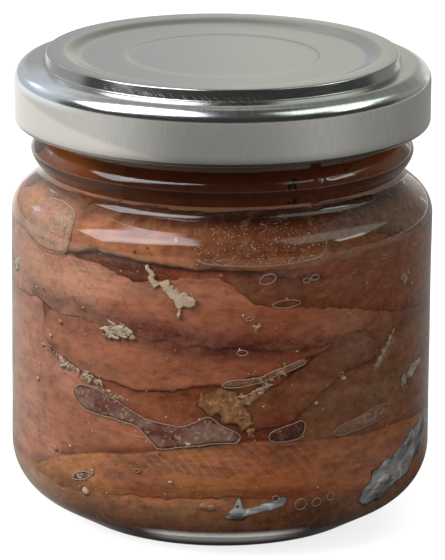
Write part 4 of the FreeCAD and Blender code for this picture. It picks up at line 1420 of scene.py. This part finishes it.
def glow_material():
    """Gives out the light that each point stores."""
    m = bpy.data.materials.new("room_glow")
    m.use_nodes = True
    tree = m.node_tree
    tree.nodes.remove(tree.nodes["Principled BSDF"])
    emit = node(tree, "Emission", {"Color": attribute(tree, "glow", "Color")}).outputs[0]
    tree.links.new(emit, tree.nodes["Material Output"].inputs["Surface"])
    return m


def reflected_room():
    """A dome and a table top that only reflections see."""
    az, el = np.meshgrid(np.linspace(-180, 180, 241), np.linspace(-8, 90, 81))
    a, e = np.radians(az), np.radians(el)
    direction = np.stack([np.sin(a) * np.cos(e), -np.cos(a) * np.cos(e), np.sin(e)], -1)
    rings = np.r_[np.linspace(0.0220, 0.034, 36), np.geomspace(0.036, 0.8, 60)]
    around, out = np.meshgrid(np.radians(np.linspace(-180, 180, 181)), rings)
    x, y = out * np.sin(around), -out * np.cos(around)
    table = np.stack([x, y, np.full_like(x, TABLE_HEIGHT)], -1)
    points = np.vstack([DOME_RADIUS * direction.reshape(-1, 3), table.reshape(-1, 3)])
    colours = np.vstack([room_glow(direction, az, el).reshape(-1, 3), table_glow(x, y).reshape(-1, 3)])
    mesh = bpy.data.meshes.new("reflected_room")
    mesh.from_pydata(points.tolist(), [], grid_faces(*az.shape) + grid_faces(*x.shape, start=az.size))
    store(mesh, "glow", opaque(colours))
    mesh.materials.append(glow_material())
    room = placed("reflected_room", mesh)
    for ray in ("camera", "diffuse", "transmission", "shadow"):
        setattr(room, "visible_" + ray, False)


def make_floor():
    """A white floor, whose white lift fades under and beside the jar as a painted shadow over its real one.
    """
    bpy.ops.mesh.primitive_plane_add(size=6.0, location=(0, 0, -0.00005))
    floor = bpy.context.object
    floor.name = "floor"
    m, tree, shader = material("floor_white", Roughness=0.9, Specular_IOR_Level=0.0,
                               Base_Color=(0.22, 0.22, 0.22, 1))
    path = node(tree, "LightPath").outputs
    place = node(tree, "TexCoord").outputs["Object"]
    distance = node(tree, "VectorMath", {0: place}, operation="LENGTH").outputs["Value"]
    stand, foot, clear = 0.0170, 0.0215, 0.0400     # distances from the jar's middle, in metres
    # Painted shadow: the floor's white lift fades under the jar and near it
    lift_with_painted_shadow = multiplied(tree, ranged(tree, distance, stand, foot, 0.03, 1.0),
                            ranged(tree, distance, foot, clear, 0.78, 0.93))
    direct = multiplied(tree, path["Is Camera Ray"], lift_with_painted_shadow)
    bent = any_of(tree, path["Is Glossy Ray"], path["Is Transmission Ray"])
    # Painted shade: reflections and the view through the glass see the floor darker near the jar
    bent = multiplied(tree, bent, ranged(tree, distance, 0.0235, 0.0600, 0.01, 0.93))
    lift = node(tree, "Emission", {"Strength": any_of(tree, direct, bent)}).outputs[0]
    both = node(tree, "AddShader", {0: shader.outputs[0], 1: lift}).outputs[0]
    tree.links.new(both, tree.nodes["Material Output"].inputs["Surface"])
    floor.data.materials.append(m)


def make_world():
    """Plain soft light, behind which the camera and the reflections see white."""
    world = bpy.data.worlds.new("world")
    bpy.context.scene.world = world
    world.use_nodes = True
    tree = world.node_tree
    soft = tree.nodes["Background"]
    soft.inputs["Color"].default_value = (0.95, 0.97, 1.0, 1)
    soft.inputs["Strength"].default_value = 0.36
    white = node(tree, "Background", {"Color": (1, 1, 1, 1), "Strength": 1.0}).outputs[0]
    path = node(tree, "LightPath").outputs
    seen = any_of(tree, path["Is Camera Ray"], path["Is Glossy Ray"], path["Is Transmission Ray"])
    mix = node(tree, "MixShader", {0: seen, 1: soft.outputs[0], 2: white}).outputs[0]
    tree.links.new(mix, tree.nodes["World Output"].inputs["Surface"])


camera()
bpy.context.scene.view_settings.view_transform = "Standard"
make_floor()
make_world()
reflected_room()
lamp("key_left", -66, 42, 0.9, 0.40, 10.5, (1.0, 0.98, 0.95))
lamp("fill_right", 40, 30, 1.0, 0.5, 2.6, (1.0, 0.99, 0.97))
lamp("fill_back", 165, 34, 1.0, 0.5, 7.0, (1.0, 0.99, 0.97))

FISH = fish_material()
SKIN = skin_material()
make_glass()
make_lid()
make_oil()
make_core()
make_shoulder_fillets()
make_upper_fillets()
make_lower_fillets()
make_back_fillets()
make_pockets()
make_scraps()
crumb_draw = np.random.default_rng(11)
make_crumbs(crumb_draw)
make_specks(crumb_draw)
make_fine_bubbles(crumb_draw)
